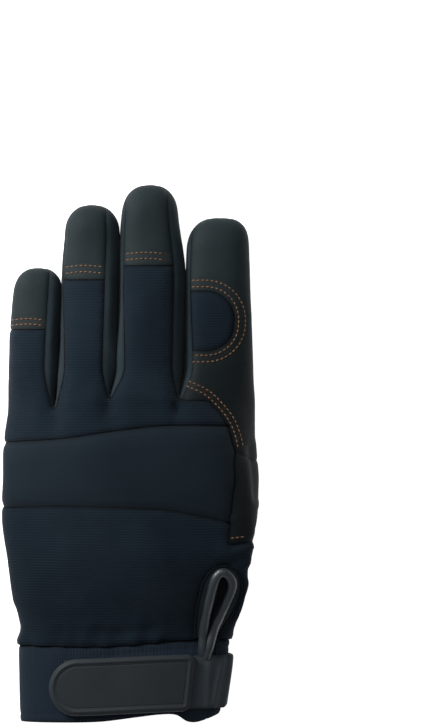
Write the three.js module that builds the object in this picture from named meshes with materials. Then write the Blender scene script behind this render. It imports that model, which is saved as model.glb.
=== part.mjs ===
import * as THREE from "three";

// A left-hand mechanic glove lying palm down, with its thumb folded under the palm.
// Millimetres. +Y runs from the cuff to the fingertips, +X to the thumb side and +Z up.
// While it is made, y is 0 at the cuff seam and x is 0 on the middle line of the hand.

// Hand and cuff
const handLength = 105;
const handWidth = 114;
const handDepth = 25;
const cuffLength = 36;
const cuffWidth = 95;
const cuffDepth = 18;

// Walls, and the gaps that keep sewn pieces apart
const knitWall = 1.5;
const leatherWall = 1.7;
const bandWall = 2.4;
const sideWall = 1.3;
const cuffWall = 2.2;
const seamGap = 0.42;
const layGap = 0.42;

// Thumb, lying flat under the palm
const thumbLength = 67;
const thumbWidth = 38;
const thumbDepth = 13;
const thumbLean = 32;
const thumbClear = 1.6;
const palmLift = { spread: 17, start: 0.15, height: 1 };
const backLift = { spread: 46, start: 0.4, height: 0.8 };

// Closure strap and its moulded tab
const strapWidth = 25;
const strapWall = 1.5;
const tabLength = 64;
const tabWidth = 27;
const tabWall = 1.8;
const rimWidth = 1.6;
const rimInset = 1.4;
const rimHeight = 0.7;

// Wrist vent: a slit with a rolled binding and a flat facing round it
const ventLength = 40;
const ventSlit = 3;
const rollDiameter = 4.2;
const facingWidth = 3;
const facingWall = 0.8;

// Gathers at the cuff seam and folds beside the thumb. from, full, low, high: shares of the hand's half width and length.
const cuffGather = 0.45;
const FOLDS = { from: 0.35, full: 0.8, low: 0.2, high: 0.5, height: 0.9 };

// Dips where pieces are sewn together
const FOLD_PRESS = { crotch: 0.45, root: 0.6, thumb: 0.6 };
const crotchDip = 2.6;
const crotchSlope = 5;

// The fingers. Lengths run from the hand's end to the tip; widths are flat, side walls included.
const littleLength = 61.7;
const littleWidth = 20.4;
const littleDepth = 15.5;
const littleCap = 27.7;
const ringLength = 89.9;
const ringWidth = 24.6;
const ringDepth = 17;
const ringCap = 34;
const middleLength = 98.8;
const middleWidth = 25.8;
const middleDepth = 17.5;
const middleCap = 36.7;
const indexLength = 84.1;
const indexWidth = 31;
const indexDepth = 17.5;

// root, tip: centre lines as shares of half the hand's width; taper: tip width as a share of the width.
// left, right: where the finger's back ends and its side wall begins, as shares of half its width.
const FINGERS = [
  {
    name: "little",
    length: littleLength,
    width: littleWidth,
    depth: littleDepth,
    cap: littleCap,
    root: -0.772,
    tip: -0.735,
    taper: 0.98,
    left: null,
    right: 0.48,
  },
  {
    name: "ring",
    length: ringLength,
    width: ringWidth,
    depth: ringDepth,
    cap: ringCap,
    root: -0.342,
    tip: -0.305,
    taper: 0.96,
    left: -0.72,
    right: 0.53,
  },
  {
    name: "middle",
    length: middleLength,
    width: middleWidth,
    depth: middleDepth,
    cap: middleCap,
    root: 0.135,
    tip: 0.149,
    taper: 0.95,
    left: -0.72,
    right: 0.68,
  },
  {
    name: "index",
    length: indexLength,
    width: indexWidth,
    depth: indexDepth,
    cap: 0,
    root: 0.695,
    tip: 0.684,
    taper: 0.88,
    left: -0.78,
    right: null,
  },
];

// The hand's outline and depth. at: share of its length from the cuff seam. left, right: shares of half its width.
const HAND_SECTIONS = [
  { at: 0.0, left: -0.882, right: 0.791, depth: 0.74 },
  { at: 0.05, left: -0.868, right: 0.806, depth: 0.8 },
  { at: 0.17, left: -0.918, right: 0.886, depth: 0.9 },
  { at: 0.33, left: -0.965, right: 0.933, depth: 0.96 },
  { at: 0.53, left: -1.01, right: 0.986, depth: 1.0 },
  { at: 0.69, left: -0.996, right: 1.0, depth: 1.0 },
  { at: 0.84, left: -0.995, right: 0.975, depth: 0.96 },
  { at: 1.0, left: -0.956, right: 0.972, depth: 0.83 },
];

// The knuckle band's two seams. x: share of half the hand's width. low, high: shares of its length.
const BAND_SEAMS = [
  { x: -1.0, low: 0.571, high: 0.845 },
  { x: -0.5, low: 0.579, high: 0.866 },
  { x: -0.12, low: 0.576, high: 0.898 },
  { x: 0.28, low: 0.567, high: 0.922 },
  { x: 0.55, low: 0.54, high: 0.924 },
  { x: 0.8, low: 0.507, high: 0.92 },
  { x: 1.0, low: 0.48, high: 0.915 },
];

// Where the fingers part. x: share of half the hand's width. y: share of its length.
const CROTCHES = [
  { x: -0.581, y: 0.984 },
  { x: -0.149, y: 1.034 },
  { x: 0.384, y: 1.026 },
];
const ROOT_LEFT = 0.98;
const ROOT_RIGHT = 1.02;
const ROOT_TOP = 1.17;

// The cuff seam's and the cuff end's slant. x: share of half the cuff's width. seam, end: shares of its length.
const CUFF_EDGES = [
  { x: -1.0, seam: -0.06, end: -1.0 },
  { x: -0.3, seam: -0.07, end: -0.99 },
  { x: 0.3, seam: -0.01, end: -0.94 },
  { x: 0.7, seam: 0.02, end: -0.97 },
  { x: 1.0, seam: 0.0, end: -0.84 },
];

// Leather edge from the index finger's inner side to the knuckle band and the thumb crotch.
// x: share of half the hand's width. y: share of its length.
const INDEX_EDGE = [
  { x: 0.37, y: 2.4 },
  { x: 0.37, y: 1.09 },
  { x: 0.455, y: 1.07 },
  { x: 0.584, y: 1.035 },
  { x: 0.702, y: 0.971 },
  { x: 0.774, y: 0.908 },
  { x: 0.819, y: 0.817 },
  { x: 0.823, y: 0.676 },
  { x: 0.791, y: 0.57 },
  { x: 0.763, y: 0.43 },
];
const INDEX_LEATHER_END = 0.8;

// The knit window in the index finger's leather. Shares of the finger's half width and of its length.
const WINDOW = { right: 0.43, low: 0.287, high: 0.618, corner: 0.4 };

// The thumb's plan. at: share of its length from the first section to the tip. side: middle line, and half: half
// width, both as shares of the thumb's width. depth: share of its depth.
const THUMB_SECTIONS = [
  { at: 0.0, side: 0.258, half: 0.6, depth: 1.0 },
  { at: 0.15, side: 0.258, half: 0.58, depth: 1.0 },
  { at: 0.48, side: 0.25, half: 0.52, depth: 0.97 },
  { at: 0.8, side: 0.3, half: 0.44, depth: 0.92 },
  { at: 1.0, side: 0.31, half: 0.42, depth: 0.86 },
];
const THUMB_START = { x: 0.2, y: 0.6 };

// The thumb's seams on its floor side. at: share of the thumb's length from its first section; side: share of its width.
const STRIP_SEAM = [
  { at: -0.591, side: 0.91 },
  { at: -0.474, side: 0.692 },
  { at: -0.338, side: 0.513 },
  { at: -0.192, side: 0.416 },
  { at: 0.005, side: 0.35 },
  { at: 0.214, side: 0.324 },
  { at: 0.469, side: 0.3 },
  { at: 0.728, side: 0.255 },
  { at: 0.987, side: 0.242 },
];
const PAD_SEAM = [
  { at: 0.03, side: 2.2 },
  { at: 0.09, side: 0.95 },
  { at: 0.14, side: 0.73 },
  { at: 0.214, side: 0.697 },
  { at: 0.359, side: 0.587 },
  { at: 0.531, side: 0.482 },
  { at: 0.716, side: 0.484 },
  { at: 0.869, side: 0.592 },
  { at: 0.986, side: 0.76 },
];

// The leather patch at the thumb's base, corner by corner. x: share of half the hand's width. y: share of its length.
const PATCH = [
  { x: 0.2, y: 0.33 },
  { x: 0.36, y: 0.352 },
  { x: 0.375, y: 0.42 },
  { x: 0.35, y: 0.5 },
  { x: 0.375, y: 0.55 },
  { x: 0.44, y: 0.563 },
  { x: 0.556, y: 0.528 },
  { x: 0.674, y: 0.469 },
  { x: 0.91, y: 0.333 },
  { x: 1.1, y: 0.25 },
  { x: 1.1, y: -0.1 },
  { x: 0.3, y: -0.1 },
];

// The wrist vent in the back of the hand, corner by corner, and the slit within it.
const VENT = [
  { x: 0.5, y: -0.12 },
  { x: 0.5, y: 0.06 },
  { x: 0.505, y: 0.14 },
  { x: 0.56, y: 0.24 },
  { x: 0.64, y: 0.32 },
  { x: 0.72, y: 0.35 },
  { x: 0.8, y: 0.33 },
  { x: 0.845, y: 0.26 },
  { x: 0.82, y: 0.16 },
  { x: 0.74, y: 0.06 },
  { x: 0.68, y: -0.12 },
];

// The roll's path round the slit, from its left end over the top to its right end.
const ROLL = [
  { x: 0.549, y: -0.02 },
  { x: 0.575, y: 0.08 },
  { x: 0.61, y: 0.17 },
  { x: 0.65, y: 0.255 },
  { x: 0.705, y: 0.3 },
  { x: 0.755, y: 0.26 },
  { x: 0.73, y: 0.17 },
  { x: 0.69, y: 0.08 },
  { x: 0.65, y: -0.02 },
];
const facingLap = 1;
const FACING_LOW = 0.02;

// The cuff's outline. at: share of its length from the seam. left, right: shares of half its width.
const CUFF_SECTIONS = [
  { at: -0.1, left: -1.05, right: 0.93, depth: 1.0 },
  { at: 0.3, left: -1.055, right: 0.905, depth: 1.0 },
  { at: 1.0, left: -1.04, right: 0.83, depth: 0.97 },
];
const cuffSplit = { left: 54, right: 31 };

// The strap's sewn end, as an angle round the cuff. The tab's right end and middle are shares of the cuff's size.
const strapStart = -24;
const strapRidge = 0.5;
const TAB_PLACE = { right: 0.583, middle: -0.5 };
const bandCrown = 0.7;

// Section shapes: exponents of the rounded outlines, and how much of the depth lies under the widest line
const topRound = 2.4;
const floorRound = 3.4;
const floorShare = 0.45;
const flatPress = 1.2;
const outerSeamAngle = 8;
const palmSeamAngle = 24;

// Mesh steps
const fingerColumns = 5;
const wallColumns = 3;
const HAND_ROWS = [
  [0, 0.09, 0.2, 0.31, 0.42, 0.53, 0.66, 0.83],
  [0, 0.33, 0.66],
  [0, 0.5, 1],
];
const rootRows = 3;
const shaftRows = 3;
const indexShaftRows = 6;
const capRows = 2;
const TIP_ANGLES = [0, 30, 54, 74];
const thumbRootRows = 5;
const thumbRows = 5;
const THUMB_HOLE = { firstRow: 1, lastRow: 10, columns: 4 };

const half = handWidth / 2;
const n = fingerColumns;
const { lerp, clamp, degToRad } = THREE.MathUtils;
const smooth = (t) => {
  const s = clamp(t, 0, 1);
  return s * s * (3 - 2 * s);
};

// One column of a table at a value of its key, on a smooth curve through its rows.
function read(table, key, column, value) {
  let i = table.findIndex((row) => row[key] > value);
  if (i < 0) i = table.length - 1;
  if (i === 0) i = 1;
  const at = (k) => table[clamp(k, 0, table.length - 1)];
  const slope = (k) =>
    (at(k + 1)[column] - at(k - 1)[column]) / (at(k + 1)[key] - at(k - 1)[key]);
  const span = at(i)[key] - at(i - 1)[key];
  const t = clamp((value - at(i - 1)[key]) / span, 0, 1);
  const t2 = t * t;
  const t3 = t2 * t;
  return (
    (2 * t3 - 3 * t2 + 1) * at(i - 1)[column] +
    (t3 - 2 * t2 + t) * span * slope(i - 1) +
    (3 * t2 - 2 * t3) * at(i)[column] +
    (t3 - t2) * span * slope(i)
  );
}

// A rounded section: the point at an angle from the widest line, 90 degrees on top and -90 on the floor side.
function sectionPoint(centre, halfWidth, depth, angle) {
  const a = degToRad(angle);
  const c = Math.cos(a);
  const s = Math.sin(a);
  const round = s >= 0 ? topRound : floorRound;
  const middle = depth * floorShare;
  const x = centre + halfWidth * Math.sign(c) * Math.abs(c) ** (2 / round);
  const rise = Math.abs(s) ** (2 / round);
  const z = s >= 0 ? middle + (depth - middle) * rise : middle - (middle + flatPress) * rise;
  return [x, Math.max(z, 0)];
}

// The angle of a section at which its outline has a given share of the half width.
function angleAt(share, onTop) {
  const round = onTop ? topRound : floorRound;
  const c = Math.sign(share) * Math.abs(share) ** (round / 2);
  const a = THREE.MathUtils.radToDeg(Math.acos(clamp(c, -1, 1)));
  return onTop ? a : -a;
}

// The thumb's own directions in plan, and where its first section stands
const lean = degToRad(thumbLean);
const thumbAlong = new THREE.Vector3(-Math.sin(lean), Math.cos(lean), 0);
const thumbAcross = new THREE.Vector3(Math.cos(lean), Math.sin(lean), 0);
const thumbStart = new THREE.Vector3(THUMB_START.x * half, THUMB_START.y * handLength, 0);

// How far the hand is lifted by the thumb under it: 0 away from the thumb and at the cuff. spread: how far from the
// thumb it fades out; start: the share of the hand's length over which it grows from the cuff.
function liftOver(x, y, { spread, start, height }) {
  const from = new THREE.Vector3(x, y, 0).sub(thumbStart);
  const along = from.dot(thumbAlong);
  const across = from.dot(thumbAcross);
  const at = clamp(along / thumbLength, 0, 1);
  const middle = read(THUMB_SECTIONS, "at", "side", at) * thumbWidth;
  const reach = read(THUMB_SECTIONS, "at", "half", at) * thumbWidth;
  const sideways = Math.max(Math.abs(across - middle) - reach, -reach);
  const beyond = Math.max(along - thumbLength, -reach);
  const outside =
    sideways > 0 && beyond > 0 ? Math.hypot(sideways, beyond) : Math.max(sideways, beyond);
  const t = (outside + palmLift.spread * 0.3) / (spread + palmLift.spread * 0.3);
  return (thumbDepth + thumbClear) * height * (1 - smooth(t)) * smooth(y / (handLength * start));
}
const lift = (x, y, top) => lerp(liftOver(x, y, palmLift), liftOver(x, y, backLift), top);

function crotchRowY(x, dorsal) {
  const corners = [
    { x: read(HAND_SECTIONS, "at", "left", 1), y: ROOT_LEFT },
    ...CROTCHES,
    { x: read(HAND_SECTIONS, "at", "right", 1), y: ROOT_RIGHT },
  ];
  const share = x / half;
  let i = 1;
  while (i < corners.length - 1 && share > corners[i].x) i++;
  const a = corners[i - 1];
  const b = corners[i];
  const t = clamp((share - a.x) / (b.x - a.x), 0, 1);
  const slope = (k) => (dorsal || k === 0 || k === corners.length - 1 ? 0 : crotchSlope);
  return lerp(a.y, b.y, t) * handLength + lerp(slope(i - 1), slope(i), t);
}

// The guide lines that the hand's rows lie between: cuff seam, the band's two seams, and the line of the crotches.
function guideY(line, x, dorsal) {
  if (line === 0) return read(CUFF_EDGES, "x", "seam", x / (cuffWidth / 2)) * cuffLength + seamGap;
  if (line === 3) return crotchRowY(x, dorsal);
  return read(BAND_SEAMS, "x", line === 1 ? "low" : "high", clamp(x / half, -1, 1)) * handLength;
}

const rowPlaces = HAND_ROWS.flatMap((shares, line) => shares.map((share) => ({ line, share })));
const lastHandRow = rowPlaces.length - 1;
const bandLowRow = HAND_ROWS[0].length;
const bandHighRow = bandLowRow + HAND_ROWS[1].length;

// The angles of the hand's columns: over the back from the outer seam to the thumb side, then back under the palm.
const edgeLeft = read(HAND_SECTIONS, "at", "left", 1);
const edgeRight = read(HAND_SECTIONS, "at", "right", 1);
const crotchShares = CROTCHES.map(
  (c) => (c.x - (edgeLeft + edgeRight) / 2) / ((edgeRight - edgeLeft) / 2),
);
const COLUMN_ANGLES = [
  180 + outerSeamAngle,
  ...crotchShares.map((share) => angleAt(share, true)),
  -outerSeamAngle,
  ...[...crotchShares].reverse().map((share) => angleAt(share, false)),
  -180 + outerSeamAngle,
];
const columnAngle = (column) => {
  const k = Math.min(Math.floor(column / n), COLUMN_ANGLES.length - 2);
  return lerp(COLUMN_ANGLES[k], COLUMN_ANGLES[k + 1], column / n - k);
};

function handPoint(row, column) {
  const { line, share } = rowPlaces[row];
  const dorsal = column <= 4 * n;
  const angle = columnAngle(column);
  let y = lerp(guideY(line, 0, dorsal), guideY(Math.min(line + 1, 3), 0, dorsal), share);
  let x = 0;
  let z = 0;
  for (let pass = 0; pass < 3; pass++) {
    const at = clamp(y / handLength, 0, 1);
    const left = read(HAND_SECTIONS, "at", "left", at) * half;
    const right = read(HAND_SECTIONS, "at", "right", at) * half;
    const depth = read(HAND_SECTIONS, "at", "depth", at) * handDepth;
    [x, z] = sectionPoint((left + right) / 2, (right - left) / 2, depth, angle);
    y = lerp(guideY(line, x, dorsal), guideY(Math.min(line + 1, 3), x, dorsal), share);
  }
  // Gathers over the cuff seam, and folds of the loose cloth beside the thumb
  const gather = column % 2 ? cuffGather : -cuffGather;
  const puff = gather * (1 - smooth(y / (handLength * 0.13)));
  const sideways = smooth((x / half - FOLDS.from) / (FOLDS.full - FOLDS.from));
  const wave = Math.sin(((y / handLength - FOLDS.low) / (FOLDS.high - FOLDS.low)) * 4 * Math.PI);
  const inFolds = y > FOLDS.low * handLength && y < FOLDS.high * handLength;
  const fold = dorsal && inFolds ? FOLDS.height * wave * sideways : 0;
  const out = Math.hypot(x / 2, z - handDepth / 2) || 1;
  x += (x / 2 / out) * (puff + fold);
  z = Math.max(z + ((z - handDepth / 2) / out) * (puff + fold), 0);
  const fade = smooth(1 - (crotchRowY(x, dorsal) - y) / (handLength * 0.16));
  const apart = Math.min(...CROTCHES.map((c) => Math.abs(x - c.x * half)));
  const dip = crotchDip * fade * smooth(1 - apart / (handWidth * 0.06));
  return new THREE.Vector3(x, y, z + (dorsal ? -dip : dip * 0.6));
}

// The skin: every outer point of the glove's shell once, and its faces with the piece that each belongs to.
const points = [];
const faces = [];
const tops = [];
function addPoint(p, top = 0) {
  tops.push(top);
  return points.push(p) - 1;
}
const topShare = (angle) => smooth((Math.sin(degToRad(angle)) + 0.15) / 0.9);
const addFace = (piece, a, b, c, d) => faces.push({ piece, corners: [a, b, c, d] });

// Hand
const handLoop = 8 * n;
const hand = rowPlaces.map((_, row) =>
  Array.from({ length: handLoop }, (_, column) =>
    addPoint(handPoint(row, column), topShare(columnAngle(column))),
  ),
);
const inHole = (row, column) =>
  row >= THUMB_HOLE.firstRow &&
  row < THUMB_HOLE.lastRow &&
  column >= 4 * n &&
  column < 4 * n + THUMB_HOLE.columns;
for (let row = 0; row < lastHandRow; row++)
  for (let column = 0; column < handLoop; column++) {
    if (inHole(row, column)) continue;
    const next = (column + 1) % handLoop;
    const under = column >= 4 * n;
    const belowHole = row < THUMB_HOLE.firstRow && column < 4 * n + THUMB_HOLE.columns;
    const piece = !under
      ? row < bandLowRow
        ? "back_low"
        : row < bandHighRow
          ? "band"
          : "back_high"
      : belowHole
        ? "back_under"
        : "palm";
    addFace(piece, hand[row][column], hand[row][next], hand[row + 1][next], hand[row + 1][column]);
  }

// The walls between the fingers start on a short upright line at each crotch.
const crotchLines = CROTCHES.map((_, i) => {
  const top = hand[lastHandRow][(i + 1) * n];
  const bottom = hand[lastHandRow][8 * n - (i + 1) * n];
  const inner = Array.from({ length: wallColumns - 1 }, (_, k) =>
    addPoint(points[top].clone().lerp(points[bottom], (k + 1) / wallColumns), 1 - (k + 1) / wallColumns),
  );
  return [top, ...inner, bottom];
});

// Fingers
function fingerLoop(i) {
  const under = (k) => hand[lastHandRow][(8 * n - k) % handLoop];
  const loop = [];
  for (let k = i * n; k <= (i + 1) * n; k++) loop.push(hand[lastHandRow][k]);
  if (i < 3) loop.push(...crotchLines[i].slice(1, -1));
  for (let k = (i + 1) * n; k >= i * n; k--) if (i < 3 || k < 4 * n) loop.push(under(k));
  if (i > 0) loop.push(...crotchLines[i - 1].slice(1, -1).reverse());
  else loop.pop();
  return loop;
}

function fingerAngles(finger, i) {
  const left = finger.left === null ? 180 + outerSeamAngle : angleAt(finger.left, true);
  const right = finger.right === null ? -outerSeamAngle : angleAt(finger.right, true);
  const lowRight = finger.right === null ? -outerSeamAngle : -palmSeamAngle;
  const lowLeft = finger.left === null ? -180 + outerSeamAngle : -180 + palmSeamAngle;
  const angles = [];
  for (let k = 0; k <= n; k++) angles.push(lerp(left, right, k / n));
  if (i < 3) for (let k = 1; k < wallColumns; k++) angles.push(lerp(right, lowRight, k / wallColumns));
  for (let k = i < 3 ? 0 : 1; k <= n; k++) angles.push(lerp(lowRight, lowLeft, k / n));
  if (i > 0)
    for (let k = 1; k < wallColumns; k++)
      angles.push(lerp(lowLeft, left - 360, k / wallColumns));
  else angles.pop();
  return angles;
}

function fingerPiece(finger, i, column, row, capRow) {
  const wallRight = i < 3 ? wallColumns : 0;
  if (column < n) {
    if (i === 3) return "index_leather";
    return row >= capRow ? "cap_" + finger.name : "back_high";
  }
  if (column < n + wallRight) return "wall_" + i;
  if (column < 2 * n + wallRight) return "palm";
  return "wall_" + (i - 1);
}

// The corners where a side wall's own columns begin and end on a finger's loop.
const rootWalls = [];
function isWallEdge(i, k) {
  const right = i < 3 && k >= n && k <= n + wallColumns;
  const left = i > 0 && (k === 0 || k >= 2 * n + (i < 3 ? wallColumns : 0));
  return right || left;
}

FINGERS.forEach((finger, i) => {
  const root = fingerLoop(i);
  const angles = fingerAngles(finger, i);
  const tipY = handLength + finger.length;
  const tipRound = finger.width * finger.taper * 0.5;
  const capY = finger.cap ? tipY - finger.cap : tipY - tipRound - finger.length * 0.16;
  const straightY = ROOT_TOP * handLength;
  const rows = [];
  for (let k = 1; k <= rootRows; k++) rows.push({ y: straightY, share: k / rootRows, shrink: 1 });
  const shafts = i === 3 ? indexShaftRows : shaftRows;
  for (let k = 1; k <= shafts; k++)
    rows.push({ y: lerp(straightY, capY, k / shafts), share: 1, shrink: 1 });
  const capRow = rows.length;
  for (let k = 1; k < capRows; k++)
    rows.push({ y: lerp(capY, tipY - tipRound, k / capRows), share: 1, shrink: 1 });
  TIP_ANGLES.forEach((degrees) => {
    const a = degToRad(degrees);
    rows.push({ y: tipY - tipRound * (1 - Math.sin(a)), share: 1, shrink: Math.cos(a) ** 0.85 });
  });
  let below = root;
  rows.forEach((row, r) => {
    const along = clamp((row.y - handLength) / finger.length, 0, 1);
    const centre = lerp(finger.root, finger.tip, along) * half;
    const halfWidth = (finger.width / 2) * lerp(1, finger.taper, smooth(along)) * row.shrink;
    const depth = finger.depth * row.shrink;
    const raise = (finger.depth - depth) * floorShare * 0.9;
    const loop = root.map((start, k) => {
      const [x, z] = sectionPoint(centre, halfWidth, depth, angles[k]);
      const from = points[start];
      const join = smooth(row.share) ** 0.7;
      const y = lerp(from.y, row.y, row.share);
      const place = new THREE.Vector3(lerp(from.x, x, join), y, lerp(from.z, z + raise, join));
      return addPoint(place, lerp(tops[start], topShare(angles[k]), join));
    });
    if (r === 0) rootWalls.push(...loop.filter((_, k) => isWallEdge(i, k)));
    loop.forEach((corner, k) => {
      const next = (k + 1) % loop.length;
      addFace(fingerPiece(finger, i, k, r, capRow), below[k], below[next], loop[next], corner);
    });
    below = loop;
  });
  // The tip closes from the back to the palm side, column against column.
  const size = below.length;
  const right = i < 3 ? wallColumns : 0;
  const left = i > 0 ? wallColumns : 0;
  const tipPiece = i === 3 ? "index_leather" : "cap_" + finger.name;
  const tipCentre = below.reduce((sum, k) => sum.add(points[k]), new THREE.Vector3());
  tipCentre.divideScalar(size);
  tipCentre.y = tipY;
  const tipPoint = addPoint(tipCentre, topShare(0));
  for (let k = 0; k < size; k++) {
    const onPalm = k >= n + right && k < size - left;
    const corners = [below[k], below[(k + 1) % size], tipPoint];
    faces.push({ piece: onPalm ? "palm" : tipPiece, corners });
  }
});

// Thumb: its root loop is the edge of the hole in the palm's thumb side.
const holeLoop = [];
const { firstRow, lastRow, columns: holeColumns } = THUMB_HOLE;
const edge = 4 * n;
for (let c = 0; c < holeColumns; c++) holeLoop.push(hand[lastRow][edge + c]);
for (let r = lastRow; r > firstRow; r--) holeLoop.push(hand[r][edge + holeColumns]);
for (let c = holeColumns; c > 0; c--) holeLoop.push(hand[firstRow][edge + c]);
for (let r = firstRow; r < lastRow; r++) holeLoop.push(hand[r][edge]);

// The corner of the hole, from the crotch round by the palm, meets the section from its upper side round by the top.
const holeSides = [holeColumns, lastRow - firstRow, holeColumns, lastRow - firstRow];
const SIDE_ANGLES = [-25, 25, 155, 205, 335];
const thumbAngles = holeSides.flatMap((count, side) =>
  Array.from({ length: count }, (_, k) =>
    lerp(SIDE_ANGLES[side], SIDE_ANGLES[side + 1], k / count),
  ),
);

function thumbSection(at, shrink, angle) {
  const middle = read(THUMB_SECTIONS, "at", "side", Math.min(at, 1)) * thumbWidth;
  const reach = read(THUMB_SECTIONS, "at", "half", Math.min(at, 1)) * thumbWidth * shrink;
  const depth = read(THUMB_SECTIONS, "at", "depth", Math.min(at, 1)) * thumbDepth;
  const [across, z] = sectionPoint(middle, reach, depth * shrink, angle);
  return thumbStart
    .clone()
    .addScaledVector(thumbAlong, at * thumbLength)
    .addScaledVector(thumbAcross, across)
    .setZ(z + depth * (1 - shrink) * floorShare * 0.9);
}

function hermite(a, b, ta, tb, t) {
  const t2 = t * t;
  const t3 = t2 * t;
  return a
    .clone()
    .multiplyScalar(2 * t3 - 3 * t2 + 1)
    .addScaledVector(ta, t3 - 2 * t2 + t)
    .addScaledVector(b, 3 * t2 - 2 * t3)
    .addScaledVector(tb, t3 - t2);
}

const thumbTipRound = thumbWidth * 0.37;
let thumbBelow = holeLoop;
// The hand's points are lifted before the thumb is led away from the hole.
points.forEach((p, k) => {
  p.z += lift(p.x, p.y, tops[k]);
});
const thumbPlaces = [];
for (let k = 1; k <= thumbRootRows; k++) thumbPlaces.push({ root: k / thumbRootRows, at: 0, shrink: 1 });
for (let k = 1; k < thumbRows; k++)
  thumbPlaces.push({ root: 1, at: (k / thumbRows) * (1 - thumbTipRound / thumbLength), shrink: 1 });
TIP_ANGLES.forEach((degrees) => {
  const a = degToRad(degrees);
  thumbPlaces.push({
    root: 1,
    at: 1 - (thumbTipRound / thumbLength) * (1 - Math.sin(a)),
    shrink: Math.cos(a) ** 0.85,
  });
});
thumbPlaces.forEach((place, r) => {
  const loop = holeLoop.map((start, k) => {
    if (place.root === 1) return addPoint(thumbSection(place.at, place.shrink, thumbAngles[k]));
    const from = points[start];
    const to = thumbSection(0, 1, thumbAngles[k]);
    const down = new THREE.Vector3(0, 0, -(from.z - to.z) * 1.9);
    const along = thumbAlong.clone().multiplyScalar(from.distanceTo(to) * 0.9);
    const p = hermite(from, to, down, along, place.root);
    p.z = Math.max(p.z, 0);
    return addPoint(p);
  });
  loop.forEach((corner, k) => {
    const next = (k + 1) % loop.length;
    const middle = (thumbAngles[k] + thumbAngles[next < k ? k : next]) / 2;
    // The palm's own sheet turns over the fold above the thumb, so that no seam lies in the fold.
    const inFold = r === 0 && k >= holeColumns && k < holeColumns + lastRow - firstRow;
    const onTop = middle > 0 && middle < 180;
    const piece = inFold ? "palm" : onTop ? "thumb_front" : "thumb_floor";
    addFace(piece, thumbBelow[next], thumbBelow[k], corner, loop[next]);
  });
  thumbBelow = loop;
});
const thumbTip = thumbBelow.reduce((sum, k) => sum.add(points[k]), new THREE.Vector3());
thumbTip.divideScalar(thumbBelow.length);
thumbTip.addScaledVector(
  thumbAlong,
  thumbLength - thumbTip.clone().sub(thumbStart).dot(thumbAlong),
);
const thumbTipPoint = addPoint(thumbTip);
thumbBelow.forEach((corner, k) => {
  const next = thumbBelow[(k + 1) % thumbBelow.length];
  const middle = thumbAngles[k];
  const piece = middle > 0 && middle < 180 ? "thumb_front" : "thumb_floor";
  faces.push({ piece, corners: [next, corner, thumbTipPoint] });
});

// The thumb's own measures of a place in plan: along it from its first section, and across it.
function thumbPlace(p) {
  const from = new THREE.Vector3(p.x, p.y, 0).sub(thumbStart);
  return { along: from.dot(thumbAlong), across: from.dot(thumbAcross) };
}

// How far a place lies inside a closed outline (positive) or outside it (negative).
function insideOutline(outline, x, y) {
  let inside = false;
  let nearest = Infinity;
  outline.forEach((corner, k) => {
    const next = outline[(k + 1) % outline.length];
    const ax = corner.x * half;
    const ay = corner.y * handLength;
    const bx = next.x * half;
    const by = next.y * handLength;
    if (ay > y !== by > y && x < ((bx - ax) * (y - ay)) / (by - ay) + ax) inside = !inside;
    const t = clamp(((x - ax) * (bx - ax) + (y - ay) * (by - ay)) / ((bx - ax) ** 2 + (by - ay) ** 2), 0, 1);
    nearest = Math.min(nearest, Math.hypot(x - lerp(ax, bx, t), y - lerp(ay, by, t)));
  });
  return inside ? nearest : -nearest;
}

// The same for an open line of corners: positive on its left-hand side, going from its first corner to its last.
function leftOfLine(line, x, y) {
  let best = { gap: Infinity, side: 0 };
  for (let k = 1; k < line.length; k++) {
    const ax = line[k - 1].x * half;
    const ay = line[k - 1].y * handLength;
    const bx = line[k].x * half;
    const by = line[k].y * handLength;
    const t = clamp(((x - ax) * (bx - ax) + (y - ay) * (by - ay)) / ((bx - ax) ** 2 + (by - ay) ** 2), 0, 1);
    const gap = Math.hypot(x - lerp(ax, bx, t), y - lerp(ay, by, t));
    if (gap < best.gap - 1e-9)
      best = { gap, side: (bx - ax) * (y - ay) - (by - ay) * (x - ax) };
  }
  return best.side > 0 ? best.gap : -best.gap;
}

// A rounded window with one straight side, on the index finger.
function insideWindow(x, y) {
  const finger = FINGERS[3];
  const low = handLength + WINDOW.low * finger.length;
  const high = handLength + WINDOW.high * finger.length;
  const right = finger.root * half + WINDOW.right * (finger.width / 2);
  const corner = WINDOW.corner * finger.width;
  const dx = Math.max(x - (right - corner), 0);
  const dy = Math.max(Math.abs(y - (low + high) / 2) - ((high - low) / 2 - corner), 0);
  return corner - Math.hypot(dx, dy);
}

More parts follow.
